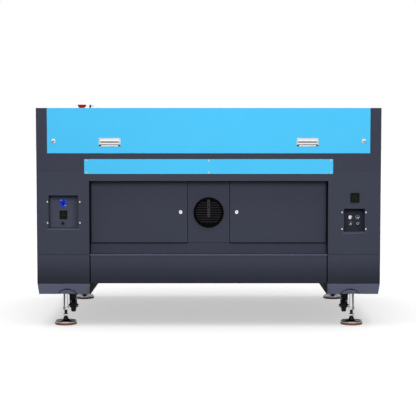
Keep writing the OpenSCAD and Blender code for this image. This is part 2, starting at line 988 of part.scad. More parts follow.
module bed_frame() {
  x = bed_w / 2;
  y = bed_d / 2;
  color("#5b5e66")
    difference() {
      union() {
        for (side = [-1, 1]) {
          slab(side * x - 8, side * x + 8, -y - 8, y + 8, bed_frame_low, bed_top - 10.2);
          slab(-x - 8, x + 8, side * y - 8, side * y + 8, bed_frame_low, bed_top - 10.2);
        }
        for (cx = [-x / 3, x / 3])
          slab(cx - 10, cx + 10, -y, y, bed_frame_low, bed_top - 10.2);
        // Lift nuts
        for (sx = [-screw_x, screw_x], sy = [-screw_y, screw_y])
          rod_z([sx, sy, bed_frame_low], bed_top - 10.2 - bed_frame_low, 20);
      }
      for (sx = [-screw_x, screw_x], sy = [-screw_y, screw_y])
        rod_z([sx, sy, bed_frame_low - 5], 60, screw_r + 0.4);
    }
}

module honeycomb() {
  color("#a9adb3")
    slab(-bed_w / 2 + 22, bed_w / 2 - 22, -bed_d / 2, bed_d / 2, bed_top - 10, bed_top);
}

// ---- Console controls ----

module estop_button() {
  color("#d8161c")
    translate([estop_x, switch_y, 0]) {
      translate([0, 0, body_top - 10])
        cylinder(h = 22, r = 11);
      translate([0, 0, body_top + 11])
        cylinder(h = 12, r1 = 12, r2 = 22);
      translate([0, 0, body_top + 23])
        cylinder(h = 3.5, r = 22);
      translate([0, 0, body_top + 26.5])
        cylinder(h = 2.5, r1 = 22, r2 = 19);
    }
}

module key_switch() {
  color("#9a9da3")
    translate([key_x, switch_y, 0]) {
      rod_z([0, 0, body_top - 10], 17, 9);
      block([0, 0, body_top + 12], [2.4, 7, 14]);
      block([0, 0, body_top + 22.5], [8, 18, 12]);
    }
}

module laser_switch() {
  color("#2f9e44")
    rod_z([laser_switch_x, switch_y, body_top - 10], 20, 8);
}

// ---- Nodes ----

lower_body();
upper_body();
rear_recess_wall();
tube_bay_tray();
control_console();
display_panel();
passthrough_cover();
panel_screws();
connection_boxes();
data_port();
power_sockets();
hose_fittings();
exhaust_grille();
fan_housing();
laser_tube();
optics_mounts();
linear_guides();
drive_motors();
electronics();
foot_caster_mounts();
rear_cover();
latch_bezels();
latch_paddle(-1);  // left_latch_paddle
latch_paddle(1);  // right_latch_paddle
left_cam_lock();
right_cam_lock();
lid_frame();
lid_window();
lid_handle();
strut_cylinder(-1);  // left_strut_cylinder
strut_cylinder(1);  // right_strut_cylinder
strut_rod(-1);  // left_strut_rod
strut_rod(1);  // right_strut_rod
gantry_beam();
laser_head();
bed_frame();
honeycomb();
rear_door(-1);  // rear_left_door
rear_door(1);  // rear_right_door
door_lock(-1);  // left_door_lock
door_lock(1);  // right_door_lock
front_flap();
front_door();
estop_button();
key_switch();
laser_switch();
fan_impeller();
y_drive_shaft();
caster_fork(0);  // caster_fork_1
caster_fork(1);  // caster_fork_2
caster_fork(2);  // caster_fork_3
caster_fork(3);  // caster_fork_4
caster_wheel(0);  // caster_wheel_1
caster_wheel(1);  // caster_wheel_2
caster_wheel(2);  // caster_wheel_3
caster_wheel(3);  // caster_wheel_4
levelling_foot(0);  // levelling_foot_1
levelling_foot(1);  // levelling_foot_2
levelling_foot(2);  // levelling_foot_3
levelling_foot(3);  // levelling_foot_4
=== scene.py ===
import json
import math

import bmesh
import bpy
from mathutils import Matrix, Vector


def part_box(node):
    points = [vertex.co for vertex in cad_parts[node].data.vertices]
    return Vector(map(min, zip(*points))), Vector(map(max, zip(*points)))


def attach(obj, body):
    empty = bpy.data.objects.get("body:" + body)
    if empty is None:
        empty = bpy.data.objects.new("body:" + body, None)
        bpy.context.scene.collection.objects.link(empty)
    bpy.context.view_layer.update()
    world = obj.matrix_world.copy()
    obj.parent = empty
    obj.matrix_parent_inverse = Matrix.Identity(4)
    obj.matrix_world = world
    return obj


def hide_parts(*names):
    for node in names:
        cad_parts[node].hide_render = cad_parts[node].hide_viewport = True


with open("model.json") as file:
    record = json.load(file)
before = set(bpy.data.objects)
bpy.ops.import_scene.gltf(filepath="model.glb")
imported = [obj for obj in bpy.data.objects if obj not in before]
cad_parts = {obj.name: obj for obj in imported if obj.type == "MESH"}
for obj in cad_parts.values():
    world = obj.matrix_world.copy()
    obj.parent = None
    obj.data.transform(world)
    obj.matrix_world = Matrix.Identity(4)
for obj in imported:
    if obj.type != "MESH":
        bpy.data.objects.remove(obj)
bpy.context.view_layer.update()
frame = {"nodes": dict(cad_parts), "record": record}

nodes = frame["nodes"]
scene = bpy.context.scene
MM = 0.001
CABINET = "cabinet"


def box_mm(node):
    """Lowest corner, highest corner and middle of a CAD node, in millimetres."""
    low, high = (Vector(corner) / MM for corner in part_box(node))
    return low, high, (low + high) / 2


def parts_of(node):
    """Lowest corner, highest corner and middle of each separate solid of a CAD node, from -X to +X."""
    bm = bmesh.new()
    bm.from_mesh(nodes[node].data)
    bmesh.ops.remove_doubles(bm, verts=bm.verts, dist=0.00001)
    seen, found = set(), []
    for start in bm.verts:
        if start in seen:
            continue
        seen.add(start)
        stack, points = [start], []
        while stack:
            v = stack.pop()
            points.append(v.co / MM)
            for e in v.link_edges:
                other = e.other_vert(v)
                if other not in seen:
                    seen.add(other)
                    stack.append(other)
        low, high = (Vector(pick(p[i] for p in points) for i in range(3)) for pick in (min, max))
        found.append((low, high, (low + high) / 2))
    bm.free()
    return sorted(found, key=lambda b: (round(b[0].x), round(b[0].y), round(b[0].z)))


def arc(steps, start=0.0, end=2 * math.pi):
    """(cosine, sine) of evenly spaced angles, with both ends."""
    angles = [start + (end - start) * k / steps for k in range(steps + 1)]
    return [(math.cos(a), math.sin(a)) for a in angles]


# ---------------------------------------------------------------- materials

def links(owner):
    """The node tree of a material or world, its Principled shader, and a function that adds and wires a node."""
    owner.use_nodes = True
    tree = owner.node_tree

    def add(kind, values=None, inputs=None):
        node = tree.nodes.new(kind)
        for key, value in (values or {}).items():
            setattr(node, key, value)
        for key, value in (inputs or {}).items():
            if isinstance(value, bpy.types.NodeSocket):
                tree.links.new(value, node.inputs[key])
            else:
                node.inputs[key].default_value = value
        return node

    return tree, tree.nodes.get("Principled BSDF"), add


def coordinate(add, axis, kind="Object"):
    """One coordinate of the shaded point."""
    where = add("ShaderNodeTexCoord").outputs[kind]
    return add("ShaderNodeSeparateXYZ", inputs={"Vector": where}).outputs[axis]


def multiply_colour(material, factor):
    """Multiplies a shader's base colour by a socket's value."""
    tree, shader, add = links(material)
    tone = add("ShaderNodeMix", {"data_type": "RGBA", "clamp_factor": False}, {"Factor": factor, "A": (0, 0, 0, 1)})
    tree.links.new(shader.inputs["Base Color"].links[0].from_socket, tone.inputs["B"])
    tree.links.new(tone.outputs["Result"], shader.inputs["Base Color"])


def scaled(colour, k):
    return tuple(min(1.0, c * k) for c in colour[:3]) + (1.0,)


def finish_of(colour, rough, metal=0.0, mottle=0.06, patch=9.0, grain=900.0, peel=0.08,
              peel_depth=0.0002, stretch=(1, 1, 1), rough_spread=0.06, spec=0.5):
    """A surface whose colour and gloss drift over patches, with a fine grain in its bump.
    stretch draws the grain out along an axis, as brushing does."""
    material = bpy.data.materials.new("finish")
    tree, shader, add = links(material)
    where = add("ShaderNodeTexCoord").outputs["Object"]
    broad = add("ShaderNodeTexNoise", inputs={"Vector": where, "Scale": patch, "Detail": 4.0, "Roughness": 0.6})
    drawn = add("ShaderNodeMapping", inputs={"Vector": where, "Scale": stretch})
    fine = add("ShaderNodeTexNoise", inputs={"Vector": drawn.outputs[0], "Scale": grain, "Detail": 2.0})
    blend = add("ShaderNodeMath", {"operation": "MULTIPLY_ADD"},
                {0: fine.outputs["Fac"], 1: 0.35, 2: broad.outputs["Fac"]})
    ramp = add("ShaderNodeValToRGB", inputs={"Fac": blend.outputs[0]})
    for element, place, shade in zip(ramp.color_ramp.elements, (0.35, 1.0), (1 - mottle, 1 + mottle)):
        element.position, element.color = place, scaled(colour, shade)
    gloss = add("ShaderNodeMapRange", inputs={
        "Value": blend.outputs[0], "From Min": 0.4, "From Max": 0.95,
        "To Min": max(0.02, rough - rough_spread), "To Max": rough + rough_spread})
    bump = add("ShaderNodeBump", inputs={"Height": fine.outputs["Fac"], "Strength": peel, "Distance": peel_depth})
    tree.links.new(ramp.outputs["Color"], shader.inputs["Base Color"])
    tree.links.new(gloss.outputs[0], shader.inputs["Roughness"])
    tree.links.new(bump.outputs[0], shader.inputs["Normal"])
    shader.inputs["Metallic"].default_value = metal
    shader.inputs["Specular IOR Level"].default_value = spec
    return material


def powder_coat(colour, rough=0.5):
    return finish_of(colour, rough, mottle=0.05, patch=5.0, grain=1100.0, peel=0.22, peel_depth=0.00025,
                     rough_spread=0.05, spec=0.12)


def painted_shade_and_floor_light(material, high, low, least, pale):
    """Paints shade and light into a paint's colour: painted shade deepens it from one height down to another, in
    metres, and painted light turns it pale under that.
    """
    add = links(material)[2]
    height = coordinate(add, "Z")
    level = add("ShaderNodeMapRange", {"interpolation_type": "SMOOTHSTEP"},
                {"Value": height, "From Min": low, "From Max": high, "To Min": least, "To Max": 1.0})
    below = add("ShaderNodeMath", {"operation": "LESS_THAN"}, {0: height, 1: low})
    factor = add("ShaderNodeMath", {"operation": "MULTIPLY_ADD"}, {0: below.outputs[0], 1: pale, 2: level.outputs[0]})
    multiply_colour(material, factor.outputs[0])
    return material


def brushed(colour, rough=0.32, along=(1, 0.02, 1)):
    return finish_of(colour, rough, metal=1.0, mottle=0.08, grain=1500.0, peel=0.1, stretch=along)


def plated(colour, rough=0.1):
    return finish_of(colour, rough, metal=1.0, mottle=0.04, patch=40.0, grain=300.0, peel=0.02,
                     rough_spread=0.04)


def plastic(colour, rough=0.42, spec=0.2):
    return finish_of(colour, rough, mottle=0.08, patch=25.0, grain=1800.0, peel=0.12, spec=spec)


def galvanised_sheet():
    """Zinc with the crystal patches of hot dipping."""
    material = finish_of((0.55, 0.57, 0.6), 0.36, metal=1.0, mottle=0.1, grain=500.0)
    tree, shader, add = links(material)
    where = add("ShaderNodeTexCoord").outputs["Object"]
    crystals = add("ShaderNodeTexVoronoi", inputs={"Vector": where, "Scale": 70.0})
    tone = add("ShaderNodeMapRange", inputs={"Value": crystals.outputs["Color"], "To Min": 0.22, "To Max": 0.5})
    tree.links.new(tone.outputs[0], shader.inputs["Roughness"])
    return material


def clear(colour, rough, ior=1.49):
    """Glass or acrylic with faint smears."""
    material = finish_of(colour, rough, mottle=0.03, patch=6.0, grain=60.0, peel=0.01, rough_spread=0.02)
    shader = links(material)[1]
    shader.inputs["Transmission Weight"].default_value = 1.0
    shader.inputs["IOR"].default_value = ior
    return material


def lit(colour, strength):
    """A screen or lamp with a faint scan pattern in its glow."""
    material = bpy.data.materials.new("finish")
    tree, shader, add = links(material)
    where = add("ShaderNodeTexCoord").outputs["Object"]
    lines = add("ShaderNodeTexWave", inputs={"Vector": where, "Scale": 120.0, "Distortion": 0.4})
    ramp = add("ShaderNodeValToRGB", inputs={"Fac": lines.outputs["Fac"]})
    ramp.color_ramp.elements[0].color = scaled(colour, 0.75)
    ramp.color_ramp.elements[1].color = scaled(colour, 1.1)
    for key in ("Base Color", "Emission Color"):
        tree.links.new(ramp.outputs["Color"], shader.inputs[key])
    shader.inputs["Emission Strength"].default_value = strength
    shader.inputs["Roughness"].default_value = 0.08
    return material


SLATE = (0.0425, 0.046, 0.068)
BLUE = (0.067, 0.485, 0.812)
# Lit and shaded copies of the cabinet paint: how much paler or deeper each other painted part is drawn, as painted
# light and shade
PAINTED_LIGHT_AND_SHADE = {"upper_paint": 0.93, "bay_paint": 0.92, "console_paint": 1.1, "box_paint": 1.4, "lid_paint": 1.12,
          "door_paint": 0.95}
# Named as the record's material slots
MATERIALS = {
    **{slot: powder_coat(scaled(SLATE, shade)) for slot, shade in PAINTED_LIGHT_AND_SHADE.items()},
    # Painted shade deepening down the pedestals' lower part, and painted light making the chamfers under it pale
    "cabinet_paint": painted_shade_and_floor_light(powder_coat(SLATE), high=0.33, low=0.1972, least=0.45, pale=3.85),
    "blue_paint": finish_of(BLUE, 0.4, mottle=0.03, patch=3.0, grain=1100.0, peel=0.1, spec=0.15),
    "galvanised": galvanised_sheet(),
    "display": plastic((0.02, 0.021, 0.025), 0.3),
    "screw_steel": plated((0.95, 0.95, 0.97), 0.3),
    "blue_plastic": plastic((0.006, 0.07, 0.95), 0.3, spec=0.06),
    "black_plastic": plastic((0.009, 0.009, 0.01), 0.38, spec=0.15),
    "fitting_metal": plated((0.9, 0.91, 0.93), 0.26),
    "grille_plastic": plastic((0.0018, 0.0018, 0.002), 0.4, spec=0.02),
    "fan_metal": powder_coat((0.014, 0.014, 0.017)),
    "tube_glass": clear((0.93, 0.98, 1.0), 0.03, ior=1.45),
    "optics_metal": brushed((0.5, 0.5, 0.53)),
    "guide_steel": brushed((0.62, 0.63, 0.65)),
    "motor_black": powder_coat((0.02, 0.02, 0.022)),
    "electronics_metal": brushed((0.5, 0.52, 0.55), 0.4, along=(1, 1, 0.03)),
    "zinc": plated((0.66, 0.67, 0.69)),
    "latch_chrome": plated((0.99, 0.985, 0.985), 0.14),
    "lock_chrome": plated((0.93, 0.94, 0.96), 0.12),
    "tinted_acrylic": clear((0.75, 0.2, 0.05), 0.05),
    "handle_metal": brushed((0.62, 0.63, 0.65), along=(0.02, 1, 1)),
    "strut_black": powder_coat((0.014, 0.014, 0.016), 0.35),
    "strut_rod": plated((0.8, 0.81, 0.83)),
    "beam_metal": brushed((0.58, 0.59, 0.61), 0.35, along=(0.02, 1, 1)),
    "head_metal": finish_of((0.5, 0.06, 0.03), 0.3, metal=1.0, grain=1200.0),
    "bed_paint": powder_coat((0.12, 0.125, 0.14)),
    "honeycomb_metal": brushed((0.55, 0.56, 0.58), 0.34),
    "estop_red": plastic((0.62, 0.008, 0.008), 0.3, spec=0.08),
    "key_metal": plated((0.55, 0.55, 0.57), 0.25),
    "switch_green": plastic((0.02, 0.32, 0.07), 0.25),
    "impeller_plastic": plastic((0.07, 0.075, 0.085)),
    "shaft_steel": brushed((0.6, 0.61, 0.63), along=(0.02, 1, 1)),
    "caster_black": powder_coat((0.006, 0.006, 0.007), 0.35),
    "wheel_rubber": finish_of((0.009, 0.009, 0.01), 0.6, mottle=0.15, grain=700.0, peel=0.3, spec=0.12),
    "foot_metal": plated((0.5, 0.51, 0.53), 0.07),
    # Painted reflection: the chromed foot dish drawn near-black for the dark machine it reflects
    "dish_metal": plated((0.05, 0.052, 0.056), 0.3),
}
# For pieces that only this scene has
EXTRA = {
    "foot_rubber": finish_of((0.17, 0.05, 0.014), 0.55, mottle=0.2, patch=30.0, grain=500.0, peel=0.3),
    "stem_black": plated((0.03, 0.03, 0.032), 0.25),
    # Near-black: painted shade in screw recesses, key slots, bores, grooves, vents, gaps and the inside of the exhaust,
    # and the real colour of the exhaust's dark studs
    "black_and_painted_shade": plastic((0.004, 0.004, 0.005), 0.6, spec=0.03),
    "seal_rubber": finish_of((0.007, 0.007, 0.009), 0.7, mottle=0.2, grain=600.0, peel=0.3, spec=0.06),
    "belt": finish_of((0.014, 0.014, 0.015), 0.6, mottle=0.2, grain=300.0, peel=0.4),
    "brass": plated((0.72, 0.5, 0.18), 0.25),
    "silicone": plastic((0.55, 0.6, 0.62), 0.35),
    "red_wire": plastic((0.45, 0.02, 0.02)),
    "screen": lit((0.03, 0.16, 0.34), 0.7),
    "keycap": plastic((0.35, 0.36, 0.38), 0.35),
    "board": plastic((0.01, 0.12, 0.06), 0.35),
    "yellow": plastic((0.72, 0.5, 0.03), 0.35),
    "pad_brown": plastic((0.05, 0.014, 0.007), 0.4, spec=0.05),
    "plate_paint": powder_coat(scaled(SLATE, 0.6)),
    # Painted highlight: the cabinet paint three times paler, for the light that the folded hems' edges catch
    "hem": powder_coat(scaled(SLATE, 3.0), 0.35),
    # Painted shade: grey for the lining of the latch flap's groove
    "groove_painted_shade": finish_of((0.24, 0.22, 0.215), 0.45, mottle=0.08, grain=700.0, spec=0.1),
    "grille_rib": plastic((0.034, 0.034, 0.037), 0.4, spec=0.05),
    "slat_black": plastic((0.024, 0.024, 0.026), 0.4, spec=0.05),
    "contact_dark": plastic((0.025, 0.026, 0.02), 0.4, spec=0.1),
    "deep_blue": plastic((0.004, 0.02, 0.3), 0.3),
    "socket_black": plastic((0.007, 0.009, 0.006), 0.4, spec=0.06),
    "hub_grey": plastic((0.12, 0.12, 0.13), 0.4),
    "gold": plated((0.9, 0.62, 0.2), 0.04),
}


FINISHES = {**MATERIALS, **EXTRA}
for name, material in FINISHES.items():
    material.name = name + "_finish"


# ---------------------------------------------------------------- shapes

X, Y, Z = Vector((1, 0, 0)), Vector((0, 1, 0)), Vector((0, 0, 1))
# Across, up and along, for work along each axis
AXES = {"X": (Y, Z, X), "Y": (X, Z, Y), "Z": (X, Y, Z)}
SMOOTH_BELOW = math.radians(35)


def basis(axis):
    """Two directions square to axis, and axis, all of length 1."""
    w = AXES[axis][2] if isinstance(axis, str) else Vector(axis).normalized()
    u = (Z if abs(w.z) < 0.9 else X).cross(w).normalized()
    return u, w.cross(u), w


def round_rect(w, h, r, steps=5):
    """Corner-rounded rectangle about the origin, as (across, up)."""
    r = max(0.01, min(r, w / 2, h / 2))
    points = []
    for i, (sx, sz) in enumerate(((1, 1), (-1, 1), (-1, -1), (1, -1))):
        quarter = arc(steps, math.pi / 2 * i, math.pi / 2 * (i + 1))
        points += [(sx * (w / 2 - r) + r * a, sz * (h / 2 - r) + r * b) for a, b in quarter]
    return points


class Shape:
    """A mesh being made, in millimetres, in the row frame."""

    def __init__(self):
        self.bm = bmesh.new()

    def box(self, corner, opposite, edge=0.0):
        """Box with rounded edges between two opposite corners."""
        made = bmesh.ops.create_cube(self.bm, size=1.0)["verts"]
        low, high = (Vector(pick(pair) for pair in zip(corner, opposite)) for pick in (min, max))
        for v in made:
            v.co = (low + high) / 2 + Vector(v.co[i] * (high[i] - low[i]) for i in range(3))
        if edge > 0:
            edges = list(dict.fromkeys(e for v in made for e in v.link_edges))
            bmesh.ops.bevel(self.bm, geom=edges, offset=edge, segments=2, profile=0.5, affect="EDGES")
        return self

    def loops(self, rings, closed=False):
        """Joins rings of equally many points with faces, and caps the ends unless they close on each other."""
        made = [[self.bm.verts.new(p) for p in ring] for ring in rings]
        for a, b in zip(made, made[1:] + made[:1] if closed else made[1:]):
            for i in range(len(a)):
                j = (i + 1) % len(a)
                self.bm.faces.new((a[i], a[j], b[j], b[i]))
        if not closed:
            self.bm.faces.new(list(reversed(made[0])))
            self.bm.faces.new(made[-1])
        return self

    def lathe(self, profile, at, axis="Z", sides=48, closed=False):
        """Turns (radius, height) points about axis at a point."""
        u, v, w = basis(axis)
        spokes = [u * a + v * b for a, b in arc(sides)[:-1]]
        return self.loops([[Vector(at) + w * h + spoke * max(r, 0.02) for spoke in spokes] for r, h in profile], closed)

    def loft(self, stages, at, axis="Y", closed=False):
        """Rounded rectangles (width, height, radius, distance, rise) along axis; width is along X where it can be."""
        across, up, w = AXES[axis]
        rings = []
        for wide, high, r, d, *rise in stages:
            middle = Vector(at) + w * d + up * (rise[0] if rise else 0.0)
            rings.append([middle + across * a + up * b for a, b in round_rect(wide, high, r)])
        return self.loops(rings, closed)

    def prism(self, outline, at, axis, length):
        """Outline of (across, up) points pushed out along axis, with X or Y as across."""
        across, up, w = AXES[axis]
        return self.loops([[Vector(at) + w * d + across * a + up * b for a, b in outline] for d in (0, length)])

    def tube(self, path, r, sides=10):
        """A round tube along points."""
        path = [Vector(p) for p in path]
        rings, side = [], None
        for i, p in enumerate(path):
            ahead = (path[min(i + 1, len(path) - 1)] - path[max(i - 1, 0)]).normalized()
            if side is None:
                side = basis(ahead)[0]
            side = (side - ahead * side.dot(ahead)).normalized()
            other = ahead.cross(side)
            rings.append([p + (side * a + other * b) * r for a, b in arc(sides)[:-1]])
        return self.loops(rings)

    def moved(self, by):
        bmesh.ops.translate(self.bm, vec=Vector(by), verts=self.bm.verts)
        return self

    def turned(self, degrees, axis, about):
        """Turns everything so far about a point."""
        bmesh.ops.rotate(self.bm, verts=self.bm.verts, cent=Vector(about),
                         matrix=Matrix.Rotation(math.radians(degrees), 3, axis))
        return self

    def add(self, other):
        """Takes over everything from another shape."""
        mesh = bpy.data.meshes.new("part")
        other.bm.to_mesh(mesh)
        other.bm.free()
        self.bm.from_mesh(mesh)
        bpy.data.meshes.remove(mesh)
        return self

    def piece(self, name, material, body=CABINET, slot=None, replaces=()):
        """Finishes the mesh as an object that rides on a CAD body."""
        bm = self.bm
        bmesh.ops.scale(bm, vec=(MM, MM, MM), verts=bm.verts)
        bmesh.ops.recalc_face_normals(bm, faces=bm.faces)
        for e in bm.edges:
            e.smooth = len(e.link_faces) == 2 and e.calc_face_angle(0) < SMOOTH_BELOW
        for f in bm.faces:
            f.smooth = True
        mesh = bpy.data.meshes.new(name)
        bm.to_mesh(mesh)
        bm.free()
        obj = bpy.data.objects.new(name, mesh)
        scene.collection.objects.link(obj)
        mesh.materials.append(FINISHES[material])
        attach(obj, body)
        if replaces:
            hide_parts(*replaces)
        return obj


def dome(r, h):
    """Outline of a domed disc as (radius, height), from its seat to its crown."""
    return [(r, 0), (r, h * 0.35), (r * 0.93, h * 0.62), (r * 0.75, h * 0.85), (r * 0.45, h * 0.97), (0, h)]


def hollow(outer, inner, length):
    """Outline of a pipe with softened ends."""
    soft = 0.6
    return [(outer, soft), (outer - soft, 0), (inner + soft, 0), (inner, soft), (inner, length - soft),
            (inner + soft, length), (outer - soft, length), (outer, length - soft)]


def ridged(r, deep, start, end, pitch):
    """Outline of a threaded rod."""
    points, z = [(r - deep, start)], start
    while z + pitch <= end:
        points += [(radius, z + pitch * along) for radius, along in
                   ((r - deep, 0.2), (r, 0.45), (r, 0.6), (r - deep, 0.9))]
        z += pitch
    return points + [(r - deep, end)]


def domed_heads(name, material, r, h, places, axis, body=CABINET):
    """One piece of like domed heads at several places."""
    heads = Shape()
    for place in places:
        heads.lathe(dome(r, h), place, axis, sides=16)
    heads.piece(name, material, body)


# ---------------------------------------------------------------- CAD nodes that stay

SLOT_OF = {s["node"]: s["material_slot"] for s in frame["record"]["subparts"]}
EDGE_MM = {
    "rear_cover": 1.2, "lid_frame": 1.2, "passthrough_cover": 0.8, "lower_body": 0.8, "upper_body": 0.8,
    "rear_left_door": 0.9, "rear_right_door": 0.9, "front_door": 0.9, "front_flap": 0.9, "gantry_beam": 1.5,
    "control_console": 0.8, "rear_recess_wall": 0.7, "connection_boxes": 0.7, "electronics": 2.0,
    "drive_motors": 2.0, "bed_frame": 1.0, "linear_guides": 0.8, "tube_bay_tray": 0.7, "optics_mounts": 1.0,
}


def dress(node):
    """Gives a CAD node its material, and rounds its edges with modifiers."""
    obj = nodes[node]
    obj.data.materials.clear()
    obj.data.materials.append(FINISHES[SLOT_OF[node]])
    width = EDGE_MM.get(node)
    if width:
        weld = obj.modifiers.new("weld", "WELD")
        weld.merge_threshold = 0.00001
        flat = obj.modifiers.new("flat", "DECIMATE")
        flat.decimate_type = "DISSOLVE"
        flat.angle_limit = math.radians(1)
        edge = obj.modifiers.new("edge", "BEVEL")
        edge.width = width * MM
        edge.segments = 2
        edge.limit_method = "ANGLE"
        edge.angle_limit = math.radians(30)
        edge.harden_normals = True


for node in nodes:
    dress(node)


# ---------------------------------------------------------------- pieces on the service side

def make_screws():
    heads, crosses = Shape(), Shape()
    for low, _, c in parts_of("panel_screws"):
        heads.lathe(dome(4.2, 2.4), (c.x, low.y, c.z), "Y", sides=20)
        for w, h in ((1.6, 0.4), (0.4, 1.6)):
            crosses.box((c.x - w, low.y + 2.0, c.z - h), (c.x + w, low.y + 2.5, c.z + h))
    heads.piece("panel_screw_heads", "screw_steel", replaces=["panel_screws"])
    # Painted shade: the screws' cross recesses drawn near-black
    crosses.piece("panel_screw_crosses", "black_and_painted_shade")


def make_lock(node):
    """Chrome head and barrel with a key slot, and the tongue behind, on the body of the same name."""
    tongue, (low, high, c) = sorted(parts_of(node), key=lambda solid: solid[1].y)
    r, face = (high.x - low.x) / 2, high.y
    at = (c.x, face, c.z)
    turned = Shape().lathe([(r - 2, -17.3), (r - 2, -3), (r, -3), (r, -1), (r - 0.5, -0.3), (r - 1.4, 0),
                            (r * 0.74, 0), (r * 0.7, -0.5), (r * 0.66, 0), (0.1, 0.1)], at, "Y")
    turned.piece(node + "_head", "lock_chrome", node, replaces=[node])
    slot = Shape().box((c.x - 0.8, face - 0.3, c.z - 2.8), (c.x + 0.8, face + 0.2, c.z + 2.8), 0.1)
    slot.lathe([(1.9, -0.3), (1.9, 0.18), (0.1, 0.18)], at, "Y", sides=20)
    # Painted shade: the key slot drawn near-black
    slot.piece(node + "_key_slot", "black_and_painted_shade", node)
    back = Shape().box(tongue[0], tongue[1], 0.8)
    back.lathe([(6, 0), (6, 3.4), (5, 4), (0.1, 4)], (c.x, tongue[0].y, c.z), (0, -1, 0), sides=6)
    back.piece(node + "_tongue", "galvanised", node)


def make_latch(side):
    """Chrome cup with dark fixing pads, and the grooved flap that pulls out of it."""
    node, is_left = f"{side}_latch_paddle", side == "left"
    low, high, c = parts_of("latch_bezels")[0 if is_left else 1]
    w, h, face, deep = high.x - low.x, high.z - low.z, high.y, low.y - high.y
    mouth_w, mouth_h = w - 12.5, h - 17.2
    shell = Shape().loft([(w - 8.6, h - 8.6, 2, deep), (w - 8.6, h - 8.6, 2, -2.4), (w, h, 4, -2.4), (w, h, 4, -1),
                          (w - 1.6, h - 1.6, 3.2, 0), (w - 11, h - 15.8, 3, 0, 1), (mouth_w, mouth_h, 2.4, -1, 1),
                          (mouth_w, mouth_h, 2.4, deep + 2, 1)], (c.x, face, c.z), "Y")
    shell.piece(node + "_cup", "latch_chrome", "rear_cover", replaces=["latch_bezels"] if is_left else ())
    pads = Shape()
    for x in (c.x - w / 2 + 5.8, c.x + w / 2 - 5.8):
        pads.loft([(10.4, 7, 2.6, -0.4), (10.4, 7, 2.6, 0.15), (9.4, 6, 2.2, 0.35)], (x, face, low.z + 4.6), "Y")
    pads.piece(node + "_pads", "pad_brown", "rear_cover", slot="latch_chrome")
    low, high, _ = box_mm(node)
    # (out, up) from the flap's upper outer edge: rolled lip, skin, groove and lower lip
    sheet = [(0, -1.2), (-0.4, -0.4), (-1.25, 0), (-2.2, -0.4), (-2.5, -1.2), (-2.5, -8.2), (-5, -9.4), (-5, -15.6),
             (-1.4, -16.2), (-1.4, -19.8), (-0.2, -20.1), (0.6, -19.4), (0.6, -16), (0.2, -15.4), (-3.6, -14.8),
             (-3.6, -9.2), (0, -7.8)]
    flap = Shape().prism(sheet, (low.x, high.y, high.z), "X", high.x - low.x)
    flap.box((low.x + 3.5, low.y, high.z - 5.2), (high.x - 3.5, high.y - 2, high.z - 2.2), 0.6)
    flap.piece(node + "_flap", "latch_chrome", f"{side}_latch", replaces=[node])
    # Painted shade: a grey lining in the flap's groove, so the groove reads grey where the chrome around it is bright
    lining = [(-0.1, -8), (-0.1, -8.5), (-1.6, -9), (-1.6, -14.8), (0, -15.2), (0, -15.6), (-3.7, -15.2), (-3.7, -8.6)]
    groove = Shape().prism(lining, (low.x + 2, high.y, high.z), "X", high.x - low.x - 4)
    groove.piece(node + "_groove", "groove_painted_shade", f"{side}_latch", slot="latch_chrome")
    # Painted shade: a near-black lining inside the cup's mouth and over its back, so the gap around the flap reads dark
    outer, inner = (mouth_w - 0.1, mouth_h - 0.1, 2.4), (mouth_w - 0.9, mouth_h - 0.8, 2)
    inside = Shape().loft([(*outer, -1.4), (*outer, deep + 2.6), (*inner, deep + 2.6), (*inner, -1.4)],
                          (c.x, face, c.z + 1), "Y", closed=True)
    inside.box((c.x - w / 2 + 6, face + deep + 2, c.z - 10), (c.x + w / 2 - 6, face + deep + 2.5, c.z + 14))
    inside.piece(node + "_shade_lining", "black_and_painted_shade", "rear_cover", slot="latch_chrome")


def make_grille():
    """Round collar with slanted slats, and a rib with three studs in front of them."""
    low, high, c = box_mm("exhaust_grille")
    r, y = (high.x - low.x) / 2, low.y
    at = (c.x, y, c.z)
    inner, pitch = r - 10.5, 10.8
    ring = Shape().lathe([(r, 0), (r, 11.5), (r - 1, 13.2), (r - 2.6, 14), (inner + 3, 14), (inner + 1, 13.2),
                          (inner, 11.5), (inner, 0)], at, "Y", sides=72, closed=True)
    ring.piece("exhaust_ring", "grille_plastic", replaces=["exhaust_grille"])
    slats = Shape()
    for i in range(-4, 5):
        reach = math.sqrt((inner + 1) ** 2 - (i * pitch) ** 2)
        slat = Shape().box((-reach, 4.5, -1.5), (reach, 11.5, 1.5), 0.6).turned(18, "X", (0, 8, 0))
        slats.add(slat.moved((c.x, y, c.z + i * pitch)))
    slats.piece("exhaust_slats", "slat_black", slot="grille_plastic")
    back = Shape().lathe([(inner + 0.5, 1), (inner + 0.5, 1.6), (0.1, 1.6)], at, "Y")
    # Painted shade: a near-black disc for the dark inside of the duct behind the slats
    back.piece("exhaust_back", "black_and_painted_shade", slot="grille_plastic")
    rib = Shape().loft([(13, 84, 5, 3), (13, 84, 5, 10.6), (11.4, 82.4, 4.4, 12)], (c.x, y, c.z + 18.5), "Y")
    rib.piece("exhaust_rib", "grille_rib", slot="grille_plastic")
    domed_heads("exhaust_studs", "black_and_painted_shade", 2.6, 1.4, [(c.x, y + 12, c.z + z) for z in (44, 33, 22)], "Y")


